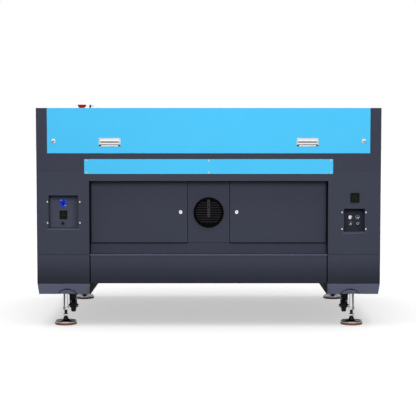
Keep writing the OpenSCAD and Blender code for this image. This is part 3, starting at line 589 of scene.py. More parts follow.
def make_data_port():
    """Square flange with a round socket, its core, its key and two screws."""
    low, high, c = box_mm("data_port")
    at, w, h = (c.x, low.y, c.z), high.x - low.x, high.z - low.z
    body = Shape().loft([(w, h, 2.5, 0), (w, h, 2.5, 2.2), (w - 1.2, h - 1.2, 2, 3)], at, "Y")
    body.lathe([(12, 2.5), (12, 7.2), (11.3, 8), (10.1, 8), (9.5, 7.3), (9.5, 3.3), (0, 3.3)], at, "Y")
    body.piece("data_port_shell", "blue_plastic", replaces=["data_port"])
    core = Shape().lathe([(9.3, 3.2), (9.3, 4), (4.4, 4), (4.4, 5.6), (0, 5.6)], at, "Y", sides=32)
    core.piece("data_port_core", "deep_blue", slot="blue_plastic")
    key = Shape().box((c.x - 3.2, low.y + 3.6, c.z - 8.4), (c.x + 3.2, low.y + 6.4, c.z - 2.6), 0.4)
    # Painted shade: the keyway drawn near-black
    key.piece("data_port_key", "black_and_painted_shade")
    corners = [(c.x + s * 9.8, low.y + 3, c.z + s * 12.2) for s in (-1, 1)]
    domed_heads("data_port_screws", "screw_steel", 2.3, 1.3, corners, "Y")


def make_sockets():
    """Two mains sockets with three contacts each, and the cable gland."""
    shells, contacts = Shape(), Shape()
    for low, high, c in parts_of("power_sockets"):
        w, h, d = high.x - low.x, high.z - low.z, high.y - low.y
        at = (c.x, low.y, c.z)
        is_gland = d > 7
        if is_gland:
            nut = Shape().lathe([(9, 0), (9, 4.4), (8.4, 5)], at, "Y", sides=6)
            nut.lathe([(7.6, 4.8), (7.6, 8), (6.6, 9.8), (5.2, 10), (4.6, 9.4), (4.6, 2)], at, "Y", sides=28)
            nut.piece("cable_gland", "cabinet_paint")
            bore = Shape().lathe([(4.9, 9), (4.9, 9.6), (0.1, 9.6)], at, "Y", sides=24)
            # Painted shade: the gland's bore drawn near-black
            bore.piece("cable_gland_bore", "black_and_painted_shade")
            continue
        shells.loft([(w, h, 3, 0), (w, h, 3, d - 0.8), (w - 1.6, h - 1.6, 2.4, d), (w - 8, h - 9, 3.4, d),
                     (w - 9, h - 11, 3, d - 3.6)], at, "Y")
        for x, z in ((-0.2 * w, -0.08 * h), (0.2 * w, -0.08 * h), (0, 0.15 * h)):
            contacts.box((c.x + x - 1.6, low.y + 1, c.z + z - 3.6), (c.x + x + 1.6, low.y + 2.8, c.z + z + 3.6), 0.3)
    shells.piece("mains_sockets", "socket_black", slot="black_plastic", replaces=["power_sockets"])
    contacts.piece("mains_contacts", "contact_dark", slot="black_plastic")


def make_fittings():
    """Blanking plug, hollow port and ridged hose tails, told apart by how far they stand out."""
    metal, bores = Shape(), Shape()
    for low, high, c in parts_of("hose_fittings"):
        r, long = (high.x - low.x) / 2, high.y - low.y
        at = (c.x, low.y, c.z)
        if long < 10:
            metal.lathe([(r, 0), (r, 4.6), (r - 1, 6.3), (r - 2.6, 7), (r * 0.42, 7), (r * 0.38, 6.5),
                         (0.1, 6.5)], at, "Y")
        elif long < 20:
            metal.lathe([(r, 0), (r, 12), (r - 0.8, 13.4), (r - 0.8, 14.4), (r - 1.8, 15.4), (r - 1.8, 17.4),
                         (r - 2.4, 18), (4.3, 18), (4, 17), (4, 5)], at, "Y")
            bores.lathe([(3.9, 5), (3.9, 6), (0.1, 6)], at, "Y", sides=24)
        else:
            ridges = [(k, h + 4 * i) for i in range(4) for k, h in ((5, 9.2), (5, 9.8), (4.4, 12.6))]
            metal.lathe([(r, 0), (r, 4.6), (r - 0.9, 6), (6.8, 6)], at, "Y", sides=6 if r > 10 else 32)
            metal.lathe([(5.6, 5), (5.6, 7), (4.5, 8.6), *ridges, (4.2, 25.4), (3.4, 26), (2.9, 25.6), (2.9, 19)],
                        at, "Y")
            bores.lathe([(7.6, 5.9), (7.6, 6.15), (0.1, 6.15)], at, "Y", sides=24)
    metal.piece("hose_fitting_bodies", "fitting_metal", replaces=["hose_fittings"])
    # Painted shade: the fittings' bores drawn near-black
    bores.piece("hose_fitting_bores", "black_and_painted_shade")


def make_foot(i):
    """Rubber ring under a chromed dish, with a dark threaded neck."""
    node = f"levelling_foot_{i}"
    low, high, c = box_mm(node)
    r, at = (high.x - low.x) / 2, (c.x, c.y, low.z)
    ring = Shape().lathe([(r - 2, 0), (r - 0.4, 0.8), (r, 2), (r, 8), (r - 0.6, 9.4), (r - 4, 10)], at, sides=72)
    ring.piece(node + "_rubber", "foot_rubber", node, slot="wheel_rubber", replaces=[node])
    rim = Shape().lathe([(r - 3, 9.6), (r - 0.8, 10.2), (r, 11.4), (r, 14.4), (r - 0.9, 16.2), (r - 3, 17),
                         (r - 5.4, 16.2), (r - 6, 15)], at, sides=72)
    rim.piece(node + "_rim", "foot_metal", node)
    # Painted reflection: the dish's chrome is drawn near-black
    dish = Shape().lathe([(r - 5.7, 15.6), (r - 10, 15.4), (r - 20, 16), (24, 17.2), (17, 19.8), (13, 23), (11.6, 26),
                          (0.1, 26)], at, sides=72)
    dish.piece(node + "_dish", "dish_metal", node, slot="foot_metal")
    neck = Shape().lathe([(10.4, 25), (11.4, 27), (11.4, 31), (9.4, 34)] + ridged(7, 0.6, 34.2, 99, 2.4), at, sides=28)
    neck.piece(node + "_neck", "stem_black", node, slot="foot_metal")
    nut = Shape().lathe([(12.6, 40), (13.4, 40.8), (13.4, 46.4), (12.6, 47.2)], at, sides=6)
    nut.piece(node + "_nut", "zinc", node)


def make_foot_mounts():
    """Chromed sleeves with their nuts, the covers of their wells with a dark ring of painted shade along each arch, and
    the casters' bolted plates.
    """
    metal, plates, plugs, lids, shade_rings = (Shape() for _ in range(5))
    body_low = box_mm("lower_body")[0].z
    # From a sleeve, inwards to the middle of its well and outwards to the foot of the chamfer
    well_aside, chamfer_out = 14, 40
    for low, high, c in parts_of("foot_caster_mounts"):
        is_sleeve = high.x - low.x < 50
        if is_sleeve:
            at = (c.x, c.y, low.z)
            tall, long = body_low - low.z, high.z - low.z
            metal.lathe([(8, 0), (13.4, 0), (14.2, 0.8), (14.2, 10.2), (13.4, 11), (11, 11)], at, sides=6)
            metal.lathe([(7.3, 10), (11.4, 10), (11.4, 13), (10.4, 13.6), (10.4, tall), (7.3, tall)], at, sides=48)
            plugs.lathe([(7.3, tall), (12.5, tall), (12.5, long), (7.3, long)], at, sides=48)

            def on_chamfer(u, v, inset, up):
                return (c.x - math.copysign(well_aside, c.x) + u, c.y + math.copysign(chamfer_out - inset + v, c.y),
                        body_low + up + v)

            lids.loops([[on_chamfer(43 * a, 19 * b, 4, up) for a, b in arc(24, 0, math.pi)] for up in (0.3, 2.3)])
            # Painted shade: a dark ring along the arch of the well, where shade falls into it
            shade_rings.tube([on_chamfer(50 * a, 50 * b - 24, 0, 2.3) for a, b in arc(24, 0.503, 2.639)], 2.3)
            continue
        top = high.z
        plates.box((low.x, low.y, top - 5), (high.x, high.y, top), 1.4)
        plates.lathe([(17, -12), (20, -12), (21, -10.5), (21, -6.5), (20, -4.6)], (c.x, c.y, top), sides=40)
        for sx, sy in ((-1, -1), (-1, 1), (1, -1), (1, 1)):
            at = (c.x + sx * 30, c.y + sy * 26, top - 5)
            plates.lathe([(7.4, 0.2), (7.4, -1), (6.6, -1.2)], at, sides=24)
            plates.lathe([(6, -1), (6, -4.4), (5.2, -5)], at, sides=6)
    metal.piece("foot_sleeves", "zinc", replaces=["foot_caster_mounts"])
    plugs.piece("foot_plugs", "bay_paint")
    lids.piece("well_covers", "cabinet_paint")
    shade_rings.piece("well_shade_rings", "black_and_painted_shade")
    plates.piece("caster_plates", "caster_black")


def make_caster(i):
    """Hex nuts, swivel race and brake pad on the CAD fork, and hub caps on the CAD wheel."""
    fork, wheel = f"caster_fork_{i}", f"caster_wheel_{i}"
    low, high, c = box_mm(fork)
    wheel_low, wheel_high, axle = box_mm(wheel)
    face = (wheel_high.x - wheel_low.x) / 2 - 0.1
    nuts, hubs = Shape(), Shape()
    for s in (-1, 1):
        x = low.x if s < 0 else high.x
        out = (s, 0, 0)
        nuts.lathe([(9, 0.2), (9, 5.4), (7.8, 6.4), (3.6, 6.4), (3.6, 7.6), (0.1, 8)],
                   (x - s * 6, axle.y, axle.z), out, sides=6)
        hubs.lathe([(5.5, 0), (13.6, 0), (13.6, 0.5), (12.4, 0.9), (6.6, 0.9)],
                   (axle.x + s * face, axle.y, axle.z), out, sides=32)
        for a, b in arc(5)[:-1]:
            hubs.lathe(dome(1.7, 1.2), (axle.x + s * (face + 0.6), axle.y + 10 * a, axle.z + 10 * b), out, sides=12)
    nuts.piece(fork + "_nuts", "zinc", fork)
    race = Shape().lathe([(21.4, -2.6), (22.4, -1.6), (22.4, -0.6), (18, 0)], (c.x, c.y, high.z), sides=40)
    race.piece(fork + "_race", "zinc", fork)
    out, pad_y = (1, high.y) if c.y > axle.y else (-1, low.y)
    pad = Shape().box((c.x - 14, pad_y - out * 3, high.z - 31), (c.x + 14, pad_y + out * 3.5, high.z - 22), 1.6)
    pad.piece(fork + "_brake_pad", "seal_rubber", fork)
    hubs.piece(wheel + "_hubs", "hub_grey", wheel, slot="caster_black")


def make_fold_lines():
    """Faint joints between the folded sheets of the pedestals."""
    high = box_mm("lower_body")[1]
    bay_low, bay_high, _ = box_mm("rear_recess_wall")
    lines = Shape()
    for s in (-1, 1):
        lines.box((s * (bay_high.x + 1), high.y - 0.5, bay_low.z + 4.4),
                  (s * (high.x - 3.5), high.y + 0.18, bay_low.z + 5.6), 0.1)
    lines.piece("pedestal_fold_lines", "seal_rubber")


def make_seals():
    """Dark edging around the doors, dark strips of painted shade down the bay's jambs, low on the pedestals' inner
    faces and along a side of the hose box, and the hems under the openings with a painted highlight.
    """
    seals_and_shade_strips, hems, shade_sheets = Shape(), Shape(), Shape()
    wall_low, wall_high, _ = box_mm("rear_recess_wall")
    body_low, body_high, _ = box_mm("lower_body")
    bay, roof = wall_low.z + 3.1, wall_high.z - 3.1
    for side, s in (("left", -1), ("right", 1)):
        low, high, _ = box_mm(f"rear_{side}_door")
        outer, inner = (low.x, high.x) if side == "left" else (high.x, low.x)
        seat, rim = wall_high.y - 3.2, high.y - 0.6
        seals_and_shade_strips.box((outer + s * 0.6, seat, low.z - 2.4), (outer + s * 2.6, rim, high.z + 1), 0.2)
        seals_and_shade_strips.box((inner - s * 1.2, wall_high.y - 0.2, low.z - 0.6),
                  (inner - s * 3, wall_high.y + 0.35, high.z + 0.4), 0.1)
        seals_and_shade_strips.box((inner - s * 1.2, seat, low.z - 2.8), (outer + s * 2.6, rim, low.z - 0.7), 0.2)
        edge = s * (wall_high.x + 0.1)
        # Painted shade: a dark strip down the bay's jamb
        seals_and_shade_strips.box((edge - s * 0.5, wall_high.y + 0.5, bay), (edge, body_high.y - 1.5, roof))
        # Painted shade: a dark sheet low on the pedestal's inner face
        shade_sheets.box((edge - s * 0.6, body_low.y + 12, body_low.z + 3), (edge, body_high.y - 12, body_low.z + 54), 0.2)
    shade_sheets.piece("inner_shade_sheets", "black_and_painted_shade")
    # Painted highlight: pale beads along the bay's sill and under the boxes
    hems.tube([(x, body_high.y - 0.7, bay - 1.2) for x in (wall_low.x + 2, wall_high.x - 2)], 2.0, 12)
    boxes = parts_of("connection_boxes")
    for low, high, _ in boxes:
        hems.tube([(x, body_high.y, low.z + 1.6) for x in (low.x + 6, high.x - 6)], 1.0, 12)
    low, high, _ = boxes[0]
    plate = Shape().box((low.x + 6, low.y + 3.05, low.z + 6), (high.x - 6, low.y + 3.6, high.z - 6), 0.2)
    plate.piece("hose_box_plate", "plate_paint", slot="box_paint")
    # Painted shade: a dark strip along the hose box's side wall
    seals_and_shade_strips.box((low.x + 3.1, low.y + 3.2, low.z + 4), (low.x + 3.6, high.y - 1, high.z - 4))
    seals_and_shade_strips.piece("door_seals", "seal_rubber")
    hems.piece("hems_painted_highlight", "hem", slot="cabinet_paint")


make_screws()
for side in ("left", "right"):
    make_lock(f"{side}_cam_lock")
    make_lock(f"{side}_door_lock")
    make_latch(side)
make_grille()
make_data_port()
make_sockets()
make_fittings()
for i in range(1, 5):
    make_foot(i)
    make_caster(i)
make_foot_mounts()
make_fold_lines()
make_seals()


# ---------------------------------------------------------------- console and lid

CONSOLE_TOP = box_mm("control_console")[1].z - 3
# Fall of the console and of the lid's front, in degrees: 125 mm over 185 mm
SLOPE = math.degrees(math.atan2(125, 185))


def make_estop():
    low, high, c = box_mm("estop_button")
    r, h, at = (high.x - low.x) / 2, high.z - low.z, (c.x, c.y, low.z)
    cap = Shape().lathe([(12, h - 18), (13, h - 17), (r - 1.4, h - 8), (r, h - 5.6), (r, h - 2.6), (r - 1, h - 0.8),
                         (r - 3, h), (9, h), (8.4, h - 0.5), (7.8, h), (0.1, h)], at, sides=56)
    cap.piece("estop_cap", "estop_red", "estop", replaces=["estop_button"])
    stem = Shape().lathe([(10.6, 0), (10.6, h - 17.5)], at, sides=32)
    stem.piece("estop_stem", "black_plastic", "estop")
    collar = Shape().lathe([(23.6, 0.1), (23.6, 3.2), (22.4, 4.2), (13, 4.2), (12.4, 3.6), (12.4, 0.1)],
                           (c.x, c.y, CONSOLE_TOP), sides=56, closed=True)
    collar.piece("estop_collar", "yellow", slot="console_paint")


def make_key():
    """Lock core and ring, and the key in it with its bow and split ring."""
    low, _, c = box_mm("key_switch")
    top = CONSOLE_TOP
    at = (c.x, c.y, top)
    core = Shape().lathe([(8.9, low.z - top), (8.9, 6.2), (8, 7), (0.1, 7)], at, sides=40)
    core.piece("key_core", "lock_chrome", "key", replaces=["key_switch"])
    ring = Shape().lathe([(16, 0.1), (16, 2), (14.6, 4.2), (9.6, 4.2), (9.2, 3.8), (9.2, 0.1)], at, closed=True)
    ring.piece("key_ring", "lock_chrome")
    blade = Shape().box((c.x - 1.1, c.y - 3.4, top + 6.5), (c.x + 1.1, c.y + 3.4, top + 20), 0.4)
    blade.piece("key_blade", "key_metal", "key")
    bow = Shape().loft([(16, 15, 4, -3.6), (17, 16, 4, -2.6), (17, 16, 4, 2.6), (16, 15, 4, 3.6)],
                       (c.x, c.y, top + 20), "X")
    bow.piece("key_bow", "socket_black", "key", slot="black_plastic")
    angles = [2 * math.pi * k / 28 for k in range(29)]
    split = [(c.x - 9 + 8 * math.cos(a), c.y + 2 * math.sin(a), top + 23.5 + 3 * math.cos(a + 0.3) + 3 * math.sin(a))
             for a in angles]
    Shape().tube(split, 0.9, 8).piece("key_split_ring", "key_metal", "key")


def make_laser_switch():
    low, high, c = box_mm("laser_switch")
    h = high.z - low.z
    cap = Shape().lathe([(7.8, 0), (7.8, h - 1.4), (6.6, h), (0.1, h + 0.4)], (c.x, c.y, low.z), sides=40)
    cap.piece("laser_switch_cap", "switch_green", "laser_switch", replaces=["laser_switch"])
    ring = Shape().lathe([(13.6, 0.1), (13.6, 2), (12.2, 3.8), (8.8, 3.8), (8.2, 3.2), (8.2, 0.1)],
                         (c.x, c.y, CONSOLE_TOP), closed=True)
    ring.piece("laser_switch_ring", "lock_chrome")


def make_console_panel():
    """Screen, key caps and rim on the sloping console."""
    low, high, c = box_mm("display_panel")
    wide, up = high.x - low.x, 4.9

    def tilted(shape):
        return shape.moved(c).turned(SLOPE, "X", c)

    screen = Shape().loft([(150, 60, 3, up - 2.6), (150, 60, 3, up - 1.8)], (0, 21, 0), "Z")
    tilted(screen).piece("console_screen", "screen", slot="display")
    caps, pitch = Shape(), 24
    for row in range(2):
        for column in range(7):
            caps.loft([(17.6, 15.6, 2.4, up - 0.6), (17.6, 15.6, 2.4, up + 1.8), (15.6, 13.6, 2, up + 2.6)],
                      (pitch * (column - 3), pitch * row - 50, 0), "Z")
    tilted(caps).piece("console_keys", "keycap", slot="display")
    rim = Shape().loft([(wide + 4, 136, 8, up - 9.4), (wide + 4, 136, 8, up - 4), (wide + 1, 133, 6, up - 3)],
                       (0, 0, 0), "Z")
    tilted(rim).piece("console_rim", "black_plastic")


def make_lid_details():
    """Gasket around the window, bolt caps over the hinges and flanges under the handle's posts."""
    low, high, c = box_mm("lid_window")
    overlap, top, hinge_x = 15, low.z + 8.1, 500
    w, d = high.x - low.x - 2 * overlap, high.y - low.y - 2 * overlap
    gasket = Shape().loft([(w + 14, d + 14, 10, 0), (w + 14, d + 14, 10, 1.2), (w + 10, d + 10, 8, 2),
                           (w - 2, d - 2, 6, 2), (w - 4, d - 4, 5, 1), (w - 4, d - 4, 5, -3)],
                          (c.x, c.y, top), "Z", closed=True)
    gasket.piece("window_gasket", "seal_rubber", "lid")
    hinges = [(x, box_mm("lid_frame")[1].y - 30, top - 0.2) for x in (-hinge_x, hinge_x)]
    domed_heads("hinge_caps", "caster_black", 7.6, 3.4, hinges, "Z", "lid")
    low, high, _ = box_mm("lid_handle")
    fall, rise, into = math.cos(math.radians(SLOPE)), math.sin(math.radians(SLOPE)), 7
    feet = Shape()
    for x in (low.x + 8, high.x - 8):
        feet.lathe([(13, 0), (13, 1.6), (11.4, 3), (7.4, 3.6)], (x, high.y - into * fall, low.z + into * rise),
                   (0, -rise, fall), sides=40)
    feet.piece("handle_flanges", "handle_metal", "lid")


make_estop()
make_key()
make_laser_switch()
make_console_panel()
make_lid_details()


# ---------------------------------------------------------------- optics, gantry and bed

def make_laser_tube():
    """Jacketed glass tube with its electrodes, end caps, hoses and high-voltage lead."""
    low, high, c = box_mm("laser_tube")
    r, start, end = (high.z - low.z) / 2, low.x + 20, high.x - 20
    long = end - start

    def pipe(shape, outer, wall, inset, sides=48):
        return shape.lathe(hollow(outer, outer - wall, long - 2 * inset), (start + inset, c.y, c.z), "X", sides,
                           closed=True)

    pipe(pipe(Shape(), r, 2.4, 0), r * 0.55, 1.8, 80).piece("tube_glass", "tube_glass", replaces=["laser_tube"])
    pipe(Shape(), r * 0.24, 1.4, 30, 24).piece("tube_core", "tube_glass")
    ends = Shape()
    for x, s in ((start, -1), (end, 1)):
        ends.lathe([(r + 0.8, -9), (r + 0.8, 1.5), (r - 1, 3), (r * 0.62, 4), (r * 0.62, 17.4), (r * 0.56, 20),
                    (9, 20), (8.6, 19), (0.1, 19)], (x, c.y, c.z), (s, 0, 0))
        ends.lathe(hollow(r * 0.5, r * 0.5 - 1, 46), (x - s * 60, c.y, c.z), (-s, 0, 0), sides=32, closed=True)
    ends.piece("tube_ends", "optics_metal")
    drop = c.z + 2 - (box_mm("tube_bay_tray")[0].z + 3)
    hoses = Shape()
    for x in (start + 34, end - 34):
        path = [(x, c.y + (r - 1) * math.cos(0.3), c.z + (r - 1) * math.sin(0.3))]
        path += [(x, c.y + r + 18 * b + 6, c.z + 8 - drop * (1 - a)) for a, b in arc(12, 0, math.pi / 2)[1:]]
        hoses.tube(path, 5, 12)
    hoses.piece("tube_hoses", "silicone", slot="tube_glass")
    lead = [(end + 10 - 3 * k, c.y - 26 - 14 * math.sin(k / 6), c.z - 10 - 7.6 * k) for k in range(13)]
    Shape().tube(lead, 3.4).piece("tube_lead", "red_wire", slot="motor_black")
    straps = Shape()
    for low, high, middle in parts_of("tube_bay_tray"):
        is_bracket = high.x - low.x < 60
        if is_bracket:
            x, top, bend = middle.x, high.z, arc(20, 0, math.pi)
            outline = [((r + 3) * a, (r + 3) * b) for a, b in bend]
            outline += [((r + 1) * a, (r + 1) * b) for a, b in reversed(bend)]
            straps.prism(outline, (x - 8, c.y, c.z), "X", 16)
            for s in (-1, 1):
                straps.lathe([(5, 0), (5, 4), (4, 5)], (x, c.y + s * (r + 10), top), "Z", sides=6)
                y = c.y + s * (r + 9)
                straps.box((x - 8, y - 8, top), (x + 8, y + 8, top + 1.6), 0.5)
    straps.piece("tube_straps", "optics_metal")


def mirror_details(name, at, body):
    """Gold-coated mirror with its retaining ring and three knurled adjusters."""
    axis, side = Vector((-1, 1, 0)).normalized(), Vector((1, 1, 0)).normalized()
    disc = Shape().lathe([(12.6, -1.6), (12.6, 1.6), (0.1, 1.6)], at, axis)
    disc.piece(name + "_disc", "gold", body, slot="optics_metal")
    trim = Shape().lathe([(15.6, 6), (15.6, 8.2), (14.6, 9), (13, 9), (12.8, 6)], at, axis, closed=True)
    for a, b in ((-17, 18), (17, 18), (17, -18)):
        trim.lathe([(1.6, 6), (1.6, 14), (4, 14), (4, 20), (3.4, 21), (0.1, 21)], Vector(at) + side * a + Z * b, -axis,
                   sides=20)
    trim.piece(name + "_trim", "brass", body, slot="optics_metal")


MIRROR_Z = 870


def make_gantry_details():
    """Grooves, guide rail, belt, motor and cable chain on the beam."""
    beam_y, top, bottom = box_mm("laser_head")[1].y + 25.6, 862, 818
    front, back, reach, rail_reach, bolt_pitch = beam_y - 25, beam_y + 25, 530, 515, 60
    idler_x, wheel_x, motor_x, mirror_x = -520, 470, 500, -564
    grooves = Shape()
    for z in (bottom + 12, bottom + 32):
        grooves.box((-reach, back - 0.2, z - 3), (wheel_x - 4, back + 0.15, z + 3))
    for y in (beam_y - 17, beam_y + 17):
        grooves.box((-reach, y - 3, top - 0.2), (reach, y + 3, top + 0.15))
    # Painted shade: the beam's grooves drawn near-black
    grooves.piece("beam_grooves", "black_and_painted_shade", "gantry")
    rail = Shape().box((-rail_reach, front - 0.5, bottom + 12), (rail_reach, front + 0.5, bottom + 26), 0.3)
    for k in range(18):
        rail.lathe(dome(2.6, 0.5), (5 - rail_reach + bolt_pitch * k, front - 0.5, bottom + 19), (0, -1, 0), sides=16)
    rail.piece("beam_rail", "guide_steel", "gantry")
    belt, wheels = Shape(), Shape()
    for z in (top + 0.2, top + 11):
        belt.box((idler_x, beam_y - 5, z), (wheel_x, beam_y + 5, z + 1.4), 0.3)
    belt.piece("head_belt", "belt", "gantry", slot="motor_black")
    for x in (idler_x, wheel_x):
        wheels.lathe([(8, -7), (8, -5.6), (5.2, -5.4), (5.2, 5.4), (8, 5.6), (8, 7)], (x, beam_y, top + 6.3), "Y",
                     sides=32)
        for s in (-1, 1):
            wheels.box((x - 4, beam_y + s * 7.2, top), (x + 4, beam_y + s * 9, top + 9), 0.4)
    wheels.piece("head_belt_wheels", "beam_metal", "gantry")
    motor = Shape().box((motor_x - 30.6, back + 0.2, 805.4), (motor_x + 30.6, back + 50.6, top + 0.6), 4)
    motor.piece("head_motor", "motor_black", "gantry")
    chain, chain_start, count, pitch = Shape(), -500, 34, 18
    chain_end = chain_start + count * pitch
    for x in range(chain_start, chain_end, pitch):
        chain.box((x, back + 4, top - 30), (x + 16, back + 22, top - 16), 2)
        chain.box((x + 14, back + 7, top - 27), (x + 20, back + 19, top - 19), 1)
    chain.box((chain_start - 5, back - 0.5, top - 33), (chain_end + 3, back + 24, top - 31), 0.5)
    chain.piece("cable_chain", "black_plastic", "gantry")
    mirror_details("gantry_mirror", (mirror_x, beam_y, MIRROR_Z), "gantry")


def make_head_details():
    """Nozzle tip, lens tube rings, air hose, screws and pointer lamp."""
    low, _, c = box_mm("laser_head")
    plate_z = 800
    nozzle = Vector((c.x, low.y + 18, low.z))
    tip = Shape().lathe([(2, -0.4), (4.6, -0.4), (5.2, 0.8), (8, 8.4), (8, 10.4)], nozzle, sides=32)
    tip.piece("nozzle_tip", "brass", "laser_head", slot="head_metal")
    rings = Shape()
    for z in (36, 43, 50, 62, 69):
        rings.lathe([(14, z), (15.6, z + 0.8), (15.6, z + 4.4), (14, z + 5.2)], nozzle, sides=40)
    rings.piece("lens_tube_rings", "optics_metal", "laser_head")
    path = [nozzle + Vector((15 + 22 * math.sin(k / 14 * math.pi), 0, 30 + 9.4 * k)) for k in range(14)]
    Shape().tube(path, 3).piece("air_hose", "silicone", "laser_head", slot="tube_glass")
    corners = [(c.x + x, low.y + 22, plate_z + z) for x in (-32, 32) for z in (10, 44)]
    domed_heads("head_screws", "screw_steel", 3, 2, corners, (0, -1, 0), "laser_head")
    pointer = Shape().lathe([(5, 0), (5, 34), (4, 36)], (c.x + 27, low.y + 12, plate_z), "Z", sides=24)
    pointer.piece("red_pointer", "black_plastic", "laser_head")


def make_honeycomb():
    """Open hexagonal foil cells inside an aluminium rim."""
    low, high, c = box_mm("honeycomb")
    w, d, frame_w, size = high.x - low.x, high.y - low.y, 14, 8.0
    rim = Shape()
    for x0, x1, y0, y1 in ((low.x, high.x, low.y, low.y + frame_w), (low.x, high.x, high.y - frame_w, high.y),
                           (low.x, low.x + frame_w, low.y + frame_w, high.y - frame_w),
                           (high.x - frame_w, high.x, low.y + frame_w, high.y - frame_w)):
        rim.box((x0, y0, low.z), (x1, y1, high.z), 0.8)
    rim.piece("honeycomb_rim", "honeycomb_metal", "bed", replaces=["honeycomb"])
    cells = Shape()
    step_x, step_y = size * math.sqrt(3), size * 1.5
    columns, rows = int((w - 2 * frame_w) / step_x), int((d - 2 * frame_w - size) / step_y)
    x0, y0 = c.x - columns * step_x / 2, c.y - (rows - 1) * step_y / 2
    for row in range(rows):
        for column in range(columns):
            x, y = x0 + (column + row % 2 / 2) * step_x, y0 + row * step_y
            corners = [(x + size * b, y + size * a) for a, b in arc(3, 0, math.pi)]
            for (ax, ay), (bx, by) in zip(corners, corners[1:]):
                bottom, top = low.z + 0.4, high.z - 0.3
                quad = ((ax, ay, bottom), (bx, by, bottom), (bx, by, top), (ax, ay, top))
                cells.bm.faces.new([cells.bm.verts.new(p) for p in quad])
    thick = cells.piece("honeycomb_cells", "honeycomb_metal", "bed").modifiers.new("foil", "SOLIDIFY")
    thick.thickness = 0.0004
    thick.offset = 0.0


def make_lift_threads():
    threads = Shape()
    for low, high, c in parts_of("linear_guides"):
        is_screw = high.x - low.x < 20 and high.y - low.y < 20
        if is_screw:
            threads.lathe(ridged(8.3, 0.3, 1, high.z - low.z - 1, 5), (c.x, c.y, low.z), sides=24)
    threads.piece("lift_threads", "shaft_steel")


def make_drive_belt():
    """Toothed belt from the gantry motor down to the drive shaft."""
    c, climb, near, far = box_mm("y_drive_shaft")[2], 46, 496, 508

    def around(big, small):
        down = [(big * a, big * b) for a, b in arc(16, math.pi, 2 * math.pi)]
        return down + [(small * a, climb + small * b) for a, b in arc(16, 0, math.pi)]

    outer, inner = around(15.6, 8.6), around(14.2, 7.2)
    rings = [[(x, c.y + a, c.z + b) for a, b in ring] for x, ring in
             ((near, inner), (near, outer), (far, outer), (far, inner))]
    Shape().loops(rings, closed=True).piece("drive_belt", "belt", slot="motor_black")


make_laser_tube()
mirror_details("first_mirror", (box_mm("optics_mounts")[2].x, box_mm("laser_tube")[2].y, MIRROR_Z), CABINET)
make_gantry_details()
make_head_details()
make_honeycomb()
make_lift_threads()
make_drive_belt()


# ---------------------------------------------------------------- side vents, boxes and the front

def make_side_vents():
    """Pressed louvres on both end sheets."""
    low, high, _ = box_mm("lower_body")
    lowest, rows, pitch = 300, 7, 34
    hood = [(-62, -7), (62, -7), (66, 0), (62, 7), (-62, 7), (-66, 0)]
    crown = [(-56, -6.4), (56, -6.4), (58, -2), (56, 1), (-56, 1), (-58, -2)]
    for s, name, x in ((-1, "left", low.x), (1, "right", high.x)):
        vents, gaps = Shape(), Shape()
        for y in (-230, 0, 230):
            for z in range(lowest, lowest + rows * pitch, pitch):
                vents.loops([[(x + s * out, y + a, z + b) for a, b in ring]
                             for out, ring in ((-0.5, hood), (0.3, hood), (4.5, crown))])
                gaps.box((x, y - 54, z - 7.4), (x + s * 4.2, y + 54, z - 6.2))
        vents.piece(f"{name}_louvres", "cabinet_paint")
        # Painted shade: near-black slots under the louvres
        gaps.piece(f"{name}_louvre_gaps", "black_and_painted_shade")


def make_electronics_details():
    """Vents, terminals and looms on the boxes in the pedestals."""
    vents, terminals, wires, boards = (Shape() for _ in range(4))
    for low, high, c in parts_of("electronics"):
        x, inward = (low.x, -1) if c.x > 0 else (high.x, 1)
        is_driver, is_case = high.y - low.y < 90, high.x - low.x > 60
        if is_driver:
            boards.box((x, low.y + 8, low.z + 12), (x + inward * 1.2, high.y - 8, low.z + 26), 0.3)
            terminals.box((x, low.y + 10, low.z + 14), (x + inward * 7, high.y - 10, low.z + 24), 0.6)
            for y in (low.y + 20 + 13 * k for k in range(4)):
                wires.tube([(x + inward * out, y + aside, low.z + up) for out, aside, up in
                            ((6, 0, 14), (11, 0, 2), (8, 3, -24), (3, 4, -44))], 1.4, 8)
        elif is_case:
            wide, tall = high.y - low.y, high.z - low.z
            for k in range(8):
                y = low.y + wide * (0.15 + 0.09 * k)
                vents.box((x, y, low.z + 0.3 * tall), (x + inward * 0.3, y + 7, low.z + 0.7 * tall))
    # Painted shade: the cases' vent slots drawn near-black
    vents.piece("case_vents", "black_and_painted_shade")
    terminals.piece("terminal_strips", "blue_plastic")
    boards.piece("circuit_boards", "board", slot="electronics_metal")
    wires.piece("driver_wires", "red_wire", slot="motor_black")


def make_front_details():
    """Lock of the front door, with its key slot."""
    low, high, c = box_mm("front_door")
    x, y, z = high.x - 32, low.y + 10.2, c.z + 60
    lock = Shape().lathe([(12, 0), (12, 2), (11, 3), (8, 3), (7.6, 2.6), (0.1, 2.6)], (x, y, z), (0, -1, 0), sides=40)
    lock.piece("front_door_lock", "lock_chrome", "front_door")
    slot = Shape().box((x - 0.8, y - 3, z - 3), (x + 0.8, y - 2.2, z + 3), 0.1)
    # Painted shade: the key slot drawn near-black
    slot.piece("front_door_key_slot", "black_and_painted_shade", "front_door")


make_side_vents()
make_electronics_details()
make_front_details()


# ---------------------------------------------------------------- camera, floor and light

SKY = 0.3
FLOOR_GLOW = 0.5
FLOOR_BOUNCE = 0.2


def make_camera():
    """Square to the service side from a little above, through a long lens."""
    camera = bpy.data.cameras.new("camera")
    camera.sensor_width = 36.0
    camera.lens = 104.95
    camera.shift_x = -0.00156
    camera.clip_end = 100.0
    obj = bpy.data.objects.new("camera", camera)
    distance, height, dip = 5.4166, 0.903, 3.85
    obj.location = (0.0, 0.515 + distance, height)
    obj.rotation_euler = (math.radians(90 - dip), 0.0, math.radians(180))
    scene.collection.objects.link(obj)
    scene.camera = obj


